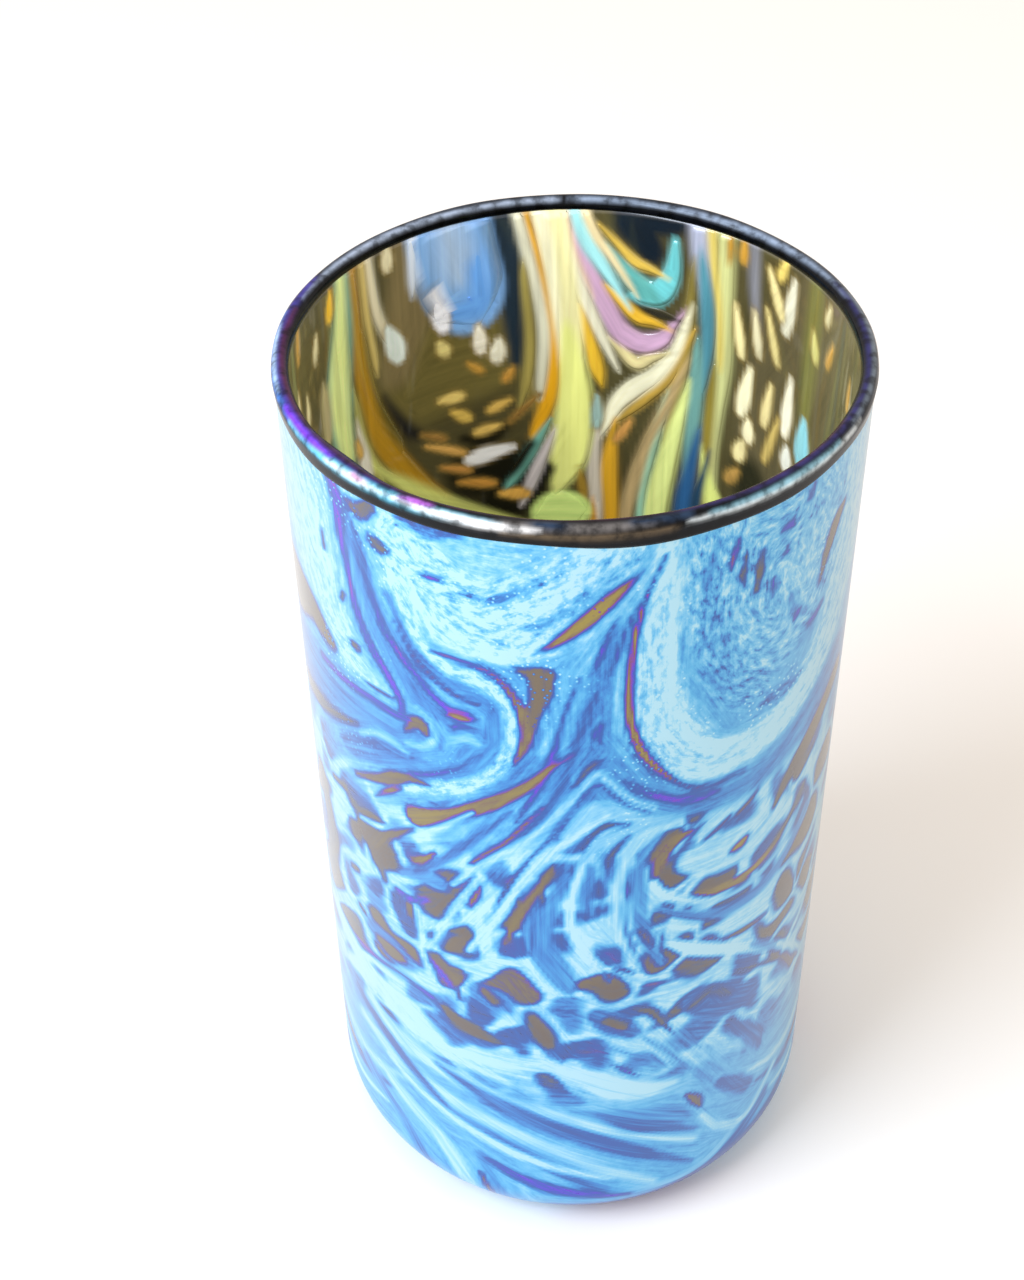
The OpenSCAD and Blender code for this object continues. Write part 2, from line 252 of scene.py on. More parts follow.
# (film, edge, grain, gold, points): grain is how speckled the glass is, gold how golden when bare.
SKIN_STROKES = [
    # Broad ground: pale above, azure across the middle, webbed pale glass below.
    (CYAN, 6, 0.5, 0, [(-95, 158, 16), (0, 160, 14), (95, 158, 16)]),
    (AZURE, 5, 0.2, 0, [(-95, 118, 7), (-40, 120, 7), (0, 122, 7), (20, 108, 6), (60, 116, 6), (95, 118, 7)]),
    (PALE, 5, 0.2, 0, [(-95, 92, 14), (-20, 92, 12), (25, 84, 12), (95, 92, 14)]),
    (PALE, 5, 0.2, 0, [(-95, 60, 14), (0, 62, 14), (95, 60, 14)]),
    (SKY, 6, 0.2, 0, [(-95, 30, 14), (0, 30, 14), (95, 30, 14)]),
    (SKY, 6, 0.2, 0, [(-95, 0, 14), (0, 0, 14), (95, 0, 14)]),
    # Left pale lobe, and the bare pools on its far side.
    (PALE, 3, 0.5, 0, [(-70, 160, 9), (-64, 148, 9), (-57, 137, 6), (-48, 130, 3), (-40, 128, 1.5)]),
    (TAUPE, 2, 0.1, 0.2, [(-76, 132, 6), (-66, 133, 3.5), (-57, 130, 1.6)]),
    (AZURE, 2, 0.1, 0, [(-76, 119, 4), (-58, 120, 4), (-44, 121, 2.4), (-33, 121.5, 1.2)]),
    (BROWN, 1.6, 0.1, 0, [(-76, 111, 2), (-64, 113, 1.6), (-55, 115.5, 0.9), (-50, 117, 0.3)]),
    (ROYAL, 1.2, 0.1, 0, [(-56, 110.5, 1), (-49, 113.5, 1.6), (-43, 116, 1.3), (-35, 117, 0.6)]),
    (CYAN, 0.8, 0.1, 0, [(-49, 115.5, 0.3), (-45, 118, 0.5), (-40, 118.6, 0.5), (-36, 117.6, 0.3)]),
    # The swag between the lip and the hook.
    (PALE, 2, 1, 0, [(-38, 165, 1), (-31, 155, 6), (-22, 150, 7), (-10, 151, 7), (0, 158, 5), (9, 165, 3)]),
    (WHITE, 1, 0.6, 0, [(-34, 152, 1), (-28, 145, 1.6), (-18, 143, 1.4), (-8, 145, 1.2), (0, 150, 0.8)]),
    (SKY, 1.6, 1, 0, [(-24, 153, 0.6), (-16, 153.5, 1.2), (-9, 157, 1), (-2, 162, 0.6)]),
    (SKY, 1.2, 0.8, 0, [(-10, 149, 0.4), (-4, 152, 0.9), (3, 157, 0.9), (9, 162, 0.6)]),
    (ROYAL, 0.6, 0.5, 0, [(-34, 163.5, 1), (-28, 163.5, 1.6), (-22, 164, 0.8)]),
    (VIOLET, 0.7, 0.3, 0, [(-30.5, 154.4, 0.2), (-27.5, 154.8, 0.7), (-25.5, 155, 0.2)]),
    (AZURE, 0.6, 0.3, 0, [(-17, 152.6, 0.2), (-14.5, 153.8, 0.8), (-12, 155.8, 0.3)]),
    (AZURE, 0.6, 0.4, 0, [(-10, 148.8, 0.2), (-7.5, 149.6, 0.5), (-5.5, 151, 0.2)]),
    # Right lobe: a speckled blue heart inside pale combed rings.
    (PALE, 2, 0.7, 0, [(15, 165, 2), (12, 150, 3), (13, 138, 4), (18, 125, 4.5), (28, 119, 3.6),
                       (42, 120, 3.6), (56, 128, 5), (66, 145, 7), (68, 160, 7)]),
    (0.7, 3, 1, 0, [(26, 160, 6), (31, 146, 9), (38, 141, 9), (46, 146, 8), (50, 158, 7), (38, 160, 8)]),
    (0.57, 2.4, 1, 0, [(23, 156, 1.5), (24, 144, 2.5), (28, 134, 3), (35, 130, 3)]),
    (CYAN, 2, 1, 0, [(42, 152, 2.5), (46, 145, 3), (50, 155, 2)]),
    (WHITE, 0.8, 0.4, 0, [(17, 158, 0.7), (16, 145, 0.9), (17, 133, 1), (22, 124, 1.2), (32, 120.5, 1.5),
                          (44, 122, 1.2), (52, 126, 0.8)]),
    (WHITE, 0.8, 0.4, 0, [(16, 119.5, 0.6), (24, 116.8, 1.4), (34, 116.6, 1.5), (46, 120, 1),
                          (56, 125, 0.8)]),
    (AZURE, 0.8, 0.6, 0, [(37, 126, 0.8), (42, 126, 1.6), (48, 127, 0.6)]),
    (AZURE, 0.6, 0.5, 0, [(23.5, 137.5, 0.5), (25, 135.5, 0.9), (26, 133.5, 0.5)]),
    (BROWN, 0.5, 0.3, 0.6, [(28, 160.5, 0.3), (27.4, 157.5, 0.7), (26.8, 155.4, 0.3)]),
    (BROWN, 0.5, 0.3, 0, [(30, 157, 0.3), (29.6, 153.6, 0.6), (29.7, 151.3, 0.3)]),
    (BROWN, 0.6, 0.3, 0, [(33.8, 156.5, 0.3), (33.6, 153, 0.8), (33.2, 149.2, 0.3)]),
    (VIOLET, 0.6, 0.3, 0, [(37, 150.2, 0.5), (37.2, 148, 0.9), (37, 146.6, 0.4)]),
    (VIOLET, 0.7, 0.3, 0, [(38.2, 158.2, 0.7), (40.5, 158.8, 1)]),
    (VIOLET, 0.6, 0.3, 0, [(38.6, 153.3, 0.4), (39.8, 153.8, 0.6)]),
    (VIOLET, 0.6, 0.3, 0, [(46, 163.5, 0.6), (45.4, 161, 0.7)]),
    (AZURE, 0.8, 0.3, 0, [(42.4, 144.6, 0.8), (43.4, 142, 0.7), (45, 140.2, 1.2)]),
    (VIOLET, 0.6, 0.3, 0, [(44, 139.5, 0.5), (45, 140.6, 0.6)]),
    (VIOLET, 0.8, 0.3, 0, [(47.5, 136.2, 0.5), (50, 136.3, 0.8), (54, 138, 0.3)]),
    (TAUPE, 0.8, 0.1, 0.1, [(51.5, 142.8, 0.5), (53.5, 148, 1.3), (56, 152, 1.5), (59, 154, 0.6)]),
    (AZURE, 0.6, 0.4, 0, [(23.6, 161, 0.4), (22.8, 157, 0.6), (22, 154, 0.3)]),
    # The funnel of combed glass between the two lobes.
    (SKY, 1.6, 0.3, 0, [(12, 163, 0.4), (7, 152, 1.6), (3, 142, 3), (0, 132, 5), (2, 123, 5)]),
    (AZURE, 1.4, 0.3, 0, [(9, 155, 0.3), (6, 147, 1.2), (3.5, 138, 2.2), (2, 130, 3), (3, 122, 3)]),
    (CYAN, 0.5, 0.4, 0, [(10, 158, 0.3), (4, 149, 0.5), (0, 142, 0.6), (-4, 133, 0.6), (-8, 125, 0.5)]),
    (CYAN, 0.5, 0.4, 0, [(13, 160, 0.4), (8, 152, 0.4), (6.3, 143, 0.5), (6.6, 134, 0.5), (9, 125, 0.4)]),
    (VIOLET, 0.35, 0, 0, [(5.8, 151, 0.15), (4, 147.5, 0.55), (2.6, 144.2, 0.5), (1.4, 141, 0.2)]),
    (VIOLET, 0.4, 0, 0, [(9.4, 153, 0.15), (7.6, 149.5, 0.4), (6.2, 145, 0.5), (5.4, 141, 0.2)]),
    (VIOLET, 0.5, 0, 0, [(3, 131, 0.5), (2.2, 129, 0.6), (3.4, 127, 0.3)]),
    (VIOLET, 0.6, 0, 0, [(-1, 140, 0.3), (-4, 132, 0.5), (-6, 124, 0.6), (-9, 117, 0.5), (-13, 110, 0.4)]),
    (ROYAL, 0.6, 0, 0, [(2, 137, 0.3), (-1, 128, 0.8), (-4, 119, 0.8), (-9, 110, 0.6), (-15, 104, 0.4)]),
    # Feathers down the left of the swag: violet, royal blue, azure, violet, bronze, pale.
    (AZURE, 1, 0.1, 0, [(-52, 164, 0.8), (-47, 158, 2.2), (-45, 149, 3), (-41, 141, 3.4), (-34, 134, 3.4),
                        (-29, 127, 3)]),
    (SKY, 0.7, 0.1, 0, [(-48.5, 156, 0.4), (-47.5, 150, 0.7), (-45.5, 143, 0.8), (-42, 137, 1), (-37, 131, 1),
                        (-33, 126, 0.9)]),
    (VIOLET, 0.6, 0, 0, [(-52.5, 165, 1.4), (-50, 160, 1.6), (-49.6, 154, 1.2), (-48.4, 148, 0.8),
                         (-46.6, 141, 0.9), (-43.5, 136, 1.1), (-39.5, 132, 1.1), (-37, 128.5, 0.9),
                         (-36.6, 126, 0.6)]),
    (ROYAL, 0.7, 0, 0, [(-46, 160, 1), (-44.6, 153, 1.3), (-42.6, 147, 1), (-40, 142.5, 0.5)]),
    (BROWN, 0.6, 0.2, 0, [(-47, 162, 0.6), (-44, 161, 1.6), (-41, 162.5, 1.4)]),
    (CYAN, 0.4, 0.3, 0, [(-46, 159.5, 0.4), (-43.4, 157.6, 0.8), (-41.5, 159, 0.6), (-39.8, 161.5, 0.5)]),
    (BROWN, 0.7, 0.2, 0, [(-42, 158, 0.2), (-40, 156.6, 1.4), (-38, 156.4, 0.9)]),
    (CYAN, 0.4, 0.3, 0, [(-44, 156.4, 0.2), (-41, 153, 0.5), (-38, 148, 0.5), (-34.5, 143, 0.5)]),
    (VIOLET, 0.5, 0, 0, [(-42.4, 147, 0.3), (-40.4, 141.6, 0.6), (-36.5, 138, 0.6), (-32, 134.5, 0.7),
                         (-28.5, 131.8, 0.9), (-25.5, 130.2, 1.1), (-22.5, 130.2, 1), (-20.4, 130, 0.4)]),
    (VIOLET, 0.4, 0, 0, [(-26.5, 125.2, 0.15), (-25, 127.2, 0.4), (-22.6, 127.9, 0.35), (-20, 128.2, 0.15)]),
    (TAUPE, 0.45, 0, 0.8, [(-26, 129.4, 0.4), (-24, 129.3, 0.7), (-21.6, 129.5, 0.3)]),
    # The hook: concentric bands that turn back round its nose.
    (AZURE, 0.7, 0.1, 0, [(-38, 148, 1), (-33, 140.5, 1), (-27, 136.6, 1.2), (-20.5, 134.8, 1.3),
                          (-17, 131, 1.2), (-17, 126, 1.3), (-20, 121, 1.4), (-26, 117.2, 1.5),
                          (-34, 115, 1.4), (-44, 113, 1.5), (-54, 109.6, 1.2)]),
    (CYAN, 0.5, 0.2, 0, [(-33, 128.5, 0.3), (-30.2, 126.6, 0.8), (-29.6, 123.6, 0.8), (-31.5, 121, 0.7),
                         (-36, 119.8, 0.4)]),
    (SKY, 0.7, 0.1, 0, [(-28, 126.5, 1), (-26, 123.5, 1.4), (-27, 120.6, 1), (-32, 118.4, 0.6)]),
    (CYAN, 0.5, 0.1, 0, [(-24.6, 124.8, 0.4), (-22, 125.6, 0.8), (-20, 125, 0.5)]),
    (BROWN, 0.4, 0, 0, [(-37, 144, 0.15), (-33, 138.8, 0.3), (-28.5, 135.6, 0.35), (-24, 133.6, 0.4),
                        (-20, 132.9, 0.25)]),
    (PALE, 0.6, 1, 0, [(-38.5, 154, 0.5), (-34.5, 147, 0.8), (-30.5, 141.4, 0.9), (-25, 138.4, 1.3),
                       (-18.5, 137.4, 1.4), (-14.2, 134, 1.1), (-13.2, 128.5, 1.1), (-14.8, 123, 1.2),
                       (-18.5, 118.4, 1.3), (-24, 115, 1.4), (-31, 112.4, 1.3), (-38, 109.6, 0.9)]),
    (VIOLET, 0.4, 0, 0, [(-20, 123, 0.2), (-24, 119.4, 0.35), (-30, 115.6, 0.4), (-36, 113.6, 0.3)]),
    (TAUPE, 0.5, 0, 0.6, [(-29, 141, 0.15), (-24, 140.7, 0.35), (-19, 140.2, 0.5), (-15.4, 138.4, 0.7),
                          (-12.6, 135, 0.9), (-10.8, 130.6, 1.2), (-11.2, 126.4, 0.9), (-13.4, 122, 0.2)]),
    (SKY, 0.4, 0.3, 0, [(-18, 141, 0.2), (-13, 138.8, 0.6), (-11, 135.6, 0.4)]),
    (TAUPE, 0.5, 0.1, 0.15, [(-13, 141.3, 0.2), (-9.5, 140.6, 1), (-6.4, 140.6, 1)]),
    (TAUPE, 0.5, 0.1, 0.15, [(-8, 140, 1.9), (-8, 137, 1.7), (-9, 133.4, 1.1), (-9.8, 129.6, 0.4)]),
    (TAUPE, 0.6, 0, 0.3, [(-36, 122.6, 0.3), (-34, 125, 1.1), (-32.4, 125.2, 1.3), (-31, 123.8, 0.7)]),
    (VIOLET, 0.5, 0, 0, [(-35.4, 125, 0.5), (-39, 124.8, 0.9), (-45, 125.2, 0.8), (-53, 124.8, 0.7),
                         (-62, 124.6, 0.8)]),
    (BROWN, 0.4, 0, 0, [(-46.5, 127.6, 0.2), (-42, 127.8, 0.4), (-38.8, 127.6, 0.35)]),
    (BROWN, 0.5, 0.1, 0, [(-48.8, 134, 1), (-47.8, 133.8, 1)]),
    (BROWN, 0.7, 0.1, 0, [(-51.4, 141.6, 0.6), (-50.8, 143, 0.6)]),
    (BROWN, 0.7, 0.1, 0, [(-56.4, 152, 0.5), (-56, 149, 0.6)]),
    # Gold lens and the gold edge of the right lobe.
    (AZURE, 0.6, 0.3, 0, [(-9, 144.4, 0.3), (-4.5, 147, 1.1), (0, 150.6, 1.6), (5, 155, 1.5),
                          (9.6, 158.6, 0.4)]),
    (0.0, 0.3, 0, 1, [(-7.6, 145.3, 0.15), (-4.4, 147.3, 0.75), (0, 150.6, 1.15), (4.5, 154.4, 1.05),
                      (8.8, 157.8, 0.2)]),
    (0.0, 0.3, 0, 1, [(14.2, 161, 0.12), (11.6, 156, 0.3), (9.6, 150, 0.5), (8.6, 144, 0.6), (8.2, 137, 0.7),
                      (8.7, 131, 0.8), (10.4, 126, 0.8), (13.4, 121.6, 0.65), (17, 118, 0.5)]),
    (BROWN, 0.35, 0, 0.2, [(17, 118, 0.4), (20, 115.4, 0.4), (24, 113.9, 0.5), (28.5, 113.6, 0.25)]),
    # Under the lobes: blue water, a violet heart and the chevron.
    (AZURE, 2, 0.2, 0, [(6, 124, 1.2), (10, 118, 2), (16, 113, 2.2), (26, 110.5, 2.6), (38, 111, 3),
                        (50, 114.5, 3), (64, 121, 4)]),
    (VIOLET, 0.8, 0.1, 0, [(8, 119, 0.3), (14, 115, 0.8), (19, 112.8, 1), (24, 112.2, 1.4), (28, 112, 0.5)]),
    (ROYAL, 0.6, 0.1, 0, [(22, 113.4, 0.5), (25, 112.9, 0.7)]),
    (CYAN, 1, 0.2, 0, [(-3, 108, 1), (2, 113, 2), (7, 112, 1.8), (12, 109.6, 1)]),
    (PALE, 0.4, 0.1, 0, [(-7, 109, 0.3), (-3, 114, 0.45), (0, 118.2, 0.5), (2.7, 121, 0.5), (5, 118.8, 0.45),
                         (9, 115, 0.5), (14, 112.2, 0.3)]),
    (VIOLET, 0.4, 0, 0, [(-4.6, 109, 0.3), (-1.6, 113.6, 0.35), (1, 117.4, 0.35), (3, 118.6, 0.35),
                         (6, 116, 0.35), (9.4, 113.4, 0.35), (13, 111.6, 0.2)]),
    (BROWN, 0.5, 0, 0, [(2.6, 123.4, 0.5), (1, 122, 0.5), (-1.6, 118.6, 0.3)]),
    (BROWN, 0.5, 0, 0, [(0, 104.6, 0.3), (2, 108, 0.5), (5, 109.8, 0.5), (9, 109.6, 0.3)]),
    # The taupe arm that leaves the hook, and the streaks beside it.
    (TAUPE, 0.7, 0, 0.7, [(-2.4, 125, 0.2), (-7, 121.4, 0.6), (-12, 117, 1), (-17, 113.6, 1.4),
                          (-22, 110.6, 1.5), (-27, 107.6, 1.7), (-31, 105.6, 2.2), (-35, 104.4, 2.3)]),
    (ROYAL, 0.6, 0, 0, [(-25, 112.4, 0.2), (-28.5, 109.6, 0.6), (-31, 109, 0.4)]),
    (AZURE, 0.6, 0, 0, [(-2, 113.6, 0.3), (-8, 108, 0.5), (-14, 104.4, 0.6), (-20, 101, 0.6)]),
    (TAUPE, 0.45, 0, 0.6, [(-7.6, 114, 0.15), (-11, 110, 0.4), (-15, 105.4, 0.5), (-19, 101.6, 0.6),
                           (-22.4, 98.4, 0.6)]),
    (VIOLET, 0.35, 0, 0, [(-4, 110, 0.2), (-8, 105, 0.35), (-12, 100, 0.35), (-15, 96, 0.3)]),
    (BROWN, 0.4, 0, 0, [(-11, 100.6, 0.15), (-14, 96.6, 0.5), (-16, 92, 0.8), (-17.6, 88, 0.5),
                        (-18.4, 85, 0.15)]),
    (BROWN, 0.5, 0, 0, [(-5.6, 101.4, 0.3), (-7.2, 98, 0.8), (-9, 94.4, 1)]),
    (TAUPE, 0.6, 0, 0.3, [(-31, 113, 0.3), (-36, 112.2, 0.8), (-40, 110.6, 1.4), (-44, 108.4, 1.1),
                          (-52, 105, 0.5)]),
    (TAUPE, 0.5, 0, 0.7, [(-38, 109.4, 0.2), (-41.6, 107, 0.7), (-46, 103.6, 0.2)]),
    # Webbed glass: bare islands in a pale net.
    (TAUPE, 1.2, 0, 0, [(-43, 97, 1.4), (-48, 95.6, 3), (-51, 93, 2.2), (-47.4, 88.4, 1.6),
                        (-45.4, 84, 0.8)]),
    (TAUPE, 1.2, 0, 0, [(-63, 97.4, 0.8), (-57.6, 98.4, 0.9)]),
    (AZURE, 1, 0, 0, [(-40, 89, 0.8), (-35, 91, 2), (-30, 91, 1.8)]),
    (TAUPE, 0.5, 0, 0.7, [(-36.4, 93.6, 0.6), (-33.4, 95.2, 0.9), (-31, 97.8, 0.4)]),
    (VIOLET, 0.8, 0, 0, [(-42, 84, 0.6), (-37.4, 83.6, 0.9), (-33.6, 85.6, 0.5)]),
    (TAUPE, 0.6, 0, 0.2, [(-38.6, 79, 0.5), (-38.6, 81.6, 0.9)]),
    (TAUPE, 0.4, 0, 0.4, [(-25.8, 91.4, 0.3), (-24, 94, 0.5), (-22, 96, 0.3)]),
    (TAUPE, 0.5, 0, 0.6, [(-23.6, 88, 0.5), (-22, 91, 0.8), (-20.6, 94.6, 0.3)]),
    (BROWN, 0.4, 0, 0, [(-28.4, 82.8, 0.4), (-27, 84.2, 0.5), (-26, 85.4, 0.2)]),
    (AZURE, 0.8, 0, 0, [(-10.5, 96, 1.2), (-10.4, 88, 1.8), (-9, 82, 2.2), (-6, 77, 2.6), (-3.6, 73, 2),
                        (-2.6, 70.6, 0.9)]),
    (ROYAL, 0.8, 0, 0, [(-30, 75.6, 1.6), (-27, 77.6, 2.4), (-24, 78, 1.4)]),
    (TAUPE, 0.8, 0, 0.1, [(-28.6, 75.6, 1), (-26.6, 77.6, 1.7), (-25, 79.6, 0.7)]),
    (BROWN, 0.6, 0, 0, [(-27.4, 71, 0.7), (-26.6, 71, 0.7)]),
    (VIOLET, 0.7, 0, 0, [(-33.4, 70, 0.9), (-31, 68, 0.9), (-28.6, 65.6, 0.6)]),
    (BROWN, 0.6, 0, 0, [(-27.4, 65.6, 0.6), (-26.6, 63.4, 0.6)]),
    (AZURE, 1.2, 0, 0, [(-22, 67, 2.2), (-18, 66, 2.6), (-15.4, 64, 1)]),
    (TAUPE, 1.4, 0, 0.1, [(-20.8, 67.4, 1), (-18.6, 65.6, 1)]),
    (ROYAL, 1, 0, 0, [(-31.6, 58.4, 1.6), (-27, 56, 2.6), (-22, 54.6, 2.8), (-17.6, 54.8, 0.9)]),
    (TAUPE, 0.9, 0, 0, [(-30.6, 59.4, 0.8), (-27.4, 57, 1.8), (-23, 56, 1.7), (-17.6, 54.6, 0.5)]),
    (ROYAL, 0.8, 0, 0, [(-10.6, 63.4, 1.8), (-8.6, 59, 2.9), (-6.6, 56, 2), (-4, 51.6, 0.4)]),
    (TAUPE, 0.7, 0, 0, [(-10.2, 63, 1), (-8.4, 59, 1.8), (-7, 56, 1)]),
    (BROWN, 0.4, 0, 0, [(-13.4, 53.2, 0.3), (-11.6, 53.4, 0.4)]),
    (BROWN, 0.4, 0, 0, [(-14.2, 71.4, 0.3), (-13, 69.4, 0.4)]),
    (AZURE, 1.4, 0, 0, [(-51, 68, 2.4), (-45, 66.6, 3.4), (-40, 66, 1.8)]),
    (TAUPE, 1.2, 0, 0, [(-49, 66.4, 1.2), (-45, 66, 1.8), (-42, 66, 1)]),
    (BROWN, 1, 0, 0, [(-57.4, 79.4, 1), (-55.6, 80, 1)]),
    (AZURE, 1.2, 0, 0, [(-51, 76, 1.4), (-47, 76.4, 1.4)]),
    (BROWN, 1, 0, 0, [(-56, 70.6, 0.8), (-54.4, 70, 0.8)]),
    (VIOLET, 1, 0, 0, [(-62, 59, 0.8), (-52, 60.4, 0.7), (-42, 61.6, 0.6), (-34, 60.4, 0.7)]),
    (BROWN, 2, 0, 0, [(-72, 92, 3), (-68, 80, 3), (-72, 70, 3)]),
    # Folds right of the chevron.
    (AZURE, 0.8, 0, 0, [(1, 100, 1.6), (0, 94, 1.6), (2, 90, 0.8)]),
    (ROYAL, 0.7, 0, 0, [(9, 107, 0.5), (5.6, 103.6, 0.7), (4.6, 98, 0.6), (3.6, 92, 0.3)]),
    (0.2, 0.4, 0, 0, [(7.6, 105.4, 0.3), (5.8, 103, 0.6), (5, 100.6, 0.3)]),
    (CYAN, 0.4, 0, 0, [(10, 108.6, 0.4), (4, 106.4, 0.6), (0.4, 102.6, 0.6), (-1.6, 97, 0.5)]),
    (PALE, 0.5, 0, 0, [(20, 107.4, 0.5), (13, 106.8, 0.8), (9.4, 103.6, 0.9), (7.4, 97, 0.8), (7, 90, 0.7),
                       (8, 84, 0.6), (10, 78, 0.6)]),
    (VIOLET, 0.4, 0, 0, [(9.4, 96, 0.2), (8.5, 91, 0.35), (8.9, 86, 0.4), (10.4, 81, 0.35), (12, 77, 0.2)]),
    (AZURE, 0.7, 0, 0, [(16, 106.4, 0.4), (12, 101.6, 1), (11.6, 95, 1.2), (12, 88, 1.4), (14, 81, 1.2),
                        (17, 75, 1)]),
    (TAUPE, 0.6, 0, 0.5, [(14.6, 96.4, 0.5), (15.6, 100, 1.4), (18, 103.4, 1.2), (22, 105, 0.6)]),
    (VIOLET, 0.5, 0, 0, [(20, 101.4, 0.2), (23, 104.4, 0.6), (25.4, 106, 0.2)]),
    (BROWN, 0.5, 0, 0.1, [(11.8, 84.4, 0.3), (13.4, 82.4, 0.7), (15, 80, 0.4)]),
    (VIOLET, 0.4, 0, 0, [(16.4, 83.4, 0.3), (17.2, 80.8, 0.5), (17.4, 78.8, 0.3)]),
    (WHITE, 0.6, 0, 0, [(14.6, 95.4, 0.6), (15.8, 92.8, 1.1), (19, 90.4, 1.1), (24, 88, 0.9),
                        (28, 86.6, 0.7)]),
    (PALE, 1.6, 0.2, 0, [(23, 98, 3), (30, 97, 4.6), (38, 97.4, 4), (46, 100, 2)]),
    (0.02, 0.5, 0, 0.9, [(32.8, 96.2, 0.8), (34.6, 96.8, 1.1), (36, 97.6, 0.7)]),
    (BROWN, 0.5, 0, 0.2, [(25, 101.6, 0.3), (28, 103, 0.6), (31, 104.8, 0.3)]),
    (BROWN, 0.5, 0, 0.2, [(33, 104.4, 0.4), (36, 105.8, 0.7), (38.4, 107.6, 0.3)]),
    (TAUPE, 1, 0, 0, [(43.6, 100.4, 0.6), (47, 104.4, 1.6), (53, 108.4, 2.2), (60, 112.4, 2.2),
                      (68, 116, 2)]),
    (AZURE, 0.8, 0, 0, [(15.6, 89, 0.8), (20, 86.4, 1), (26, 83.6, 1.4), (34, 82, 1.6), (43, 82.8, 1.5),
                        (51, 86.4, 1.2), (58, 92, 1)]),
    (CYAN, 0.6, 0, 0, [(24, 86.6, 0.4), (32, 85.6, 0.6), (40, 86, 0.7), (48, 89, 0.6), (55, 95, 0.5)]),
    (TAUPE, 0.5, 0, 0.8, [(24.4, 89.6, 0.4), (29, 88.4, 0.9), (35, 88.2, 1.1), (41, 89.2, 0.8),
                          (47, 91.6, 0.3)]),
    (BROWN, 1, 0, 0, [(44, 91, 0.5), (50, 94.4, 1), (55, 99, 0.8)]),
    (WHITE, 0.8, 0, 0, [(19, 79.4, 1), (24, 76.4, 1.7), (31, 73, 1.6), (39, 69, 1.1), (48, 63.6, 0.9),
                        (57, 57, 0.9), (66, 49, 0.9)]),
    (TAUPE, 0.6, 0, 0.2, [(32.4, 75, 0.4), (38, 74.2, 0.8), (45, 74.2, 0.4)]),
    (BROWN, 0.5, 0, 0.4, [(13.4, 70.4, 0.3), (17, 70, 0.6), (21, 69.8, 0.2)]),
    (BROWN, 0.4, 0, 0.2, [(7.4, 75.8, 0.5), (9.4, 75, 0.6), (11.4, 73.8, 0.2)]),
    (AZURE, 0.6, 0, 0, [(4.6, 75, 0.4), (6, 73, 0.5)]),
    (ROYAL, 0.8, 0, 0, [(3.6, 64, 2), (7, 61.6, 3), (11, 58.6, 1.9)]),
    (TAUPE, 0.8, 0, 0, [(6, 62.4, 1.1), (9, 60.6, 1.2)]),
    (BROWN, 0.5, 0, 0, [(13, 64, 0.5), (16, 62.4, 1.2), (18.2, 59, 0.7), (20.8, 55.4, 0.3)]),
    (ROYAL, 0.9, 0, 0, [(24, 62.4, 1.6), (28.4, 61, 4), (34, 58, 4.2), (40, 55.4, 3), (44, 55, 1)]),
    (0.2, 1.8, 0, 0, [(25.6, 61, 1), (30, 63, 1.2), (35, 59, 0.8)]),
    (AZURE, 0.8, 0, 0, [(41, 68.6, 0.6), (45.4, 65.6, 1.2), (50, 62.4, 0.7)]),
    (BROWN, 0.9, 0, 0, [(36, 64, 0.3), (46, 60.4, 0.6), (54, 56, 0.9), (60, 50, 1.4)]),
    (VIOLET, 0.5, 0, 0, [(7, 50.4, 0.3), (9.4, 48.6, 0.7), (13, 45.6, 0.2)]),
    (AZURE, 0.45, 0, 0, [(4.4, 57, 0.3), (10, 53, 0.5), (16, 50, 0.4), (22, 45.6, 0.3)]),
    (AZURE, 0.5, 0, 0, [(13, 57, 0.3), (18, 52.4, 0.6), (24, 45.4, 0.6), (28, 41, 0.4), (32, 36.6, 0.3)]),
    (AZURE, 0.5, 0, 0, [(22, 55, 0.3), (25, 51.4, 0.5), (28.4, 47.6, 0.3)]),
    (SKY, 0.6, 0, 0, [(30, 47, 0.5), (31.6, 44, 0.6), (36, 38, 0.4)]),
    (ROYAL, 1.2, 0, 0, [(37.6, 49, 1), (42, 44.6, 2), (46, 40, 2), (47.4, 36, 1)]),
    (ROYAL, 1.2, 0, 0, [(35, 34.4, 1.4), (39, 31, 2), (44, 27, 2)]),
    (TAUPE, 0.6, 0, 0, [(25.4, 35.8, 0.5), (28, 33, 1.2), (29.4, 30.4, 0.5)]),
    # Broad combed sweeps round the foot.
    (WHITE, 2.4, 0, 0, [(-64, 50, 2), (-54, 53, 3), (-42, 52.4, 3.4), (-33, 49.6, 1.6)]),
    (WHITE, 1, 0, 0, [(-27, 48.4, 0.9), (-20, 48, 1.1), (-14, 48.6, 0.8)]),
    (AZURE, 0.8, 0, 0, [(-36, 47, 0.4), (-28, 46, 0.8), (-20, 44.2, 1), (-13.4, 42, 0.5)]),
    (WHITE, 1.6, 0, 0, [(-4, 49, 1), (2, 46.6, 2.6), (8, 43.4, 3), (15, 41.4, 2.2), (22, 41, 1)]),
    (PALE, 1.6, 0, 0, [(-56, 46, 1.6), (-42, 42.6, 2.4), (-28, 40.4, 2.2), (-15, 38, 1.6), (-3, 35.6, 1.2),
                       (8, 30.6, 1.2), (18, 26.4, 1.2), (28, 21, 1)]),
    (AZURE, 1, 0, 0, [(-2, 37.4, 0.5), (6, 36, 1.2), (15, 34, 2), (22, 31.6, 2.2), (26, 29, 1)]),
    (ROYAL, 0.8, 0, 0, [(-23, 36, 0.3), (-14, 34.8, 0.9), (-5, 32.4, 1.6), (4, 28.4, 2.1), (12, 24, 2),
                        (21, 18.4, 1.2), (28, 14, 0.6)]),
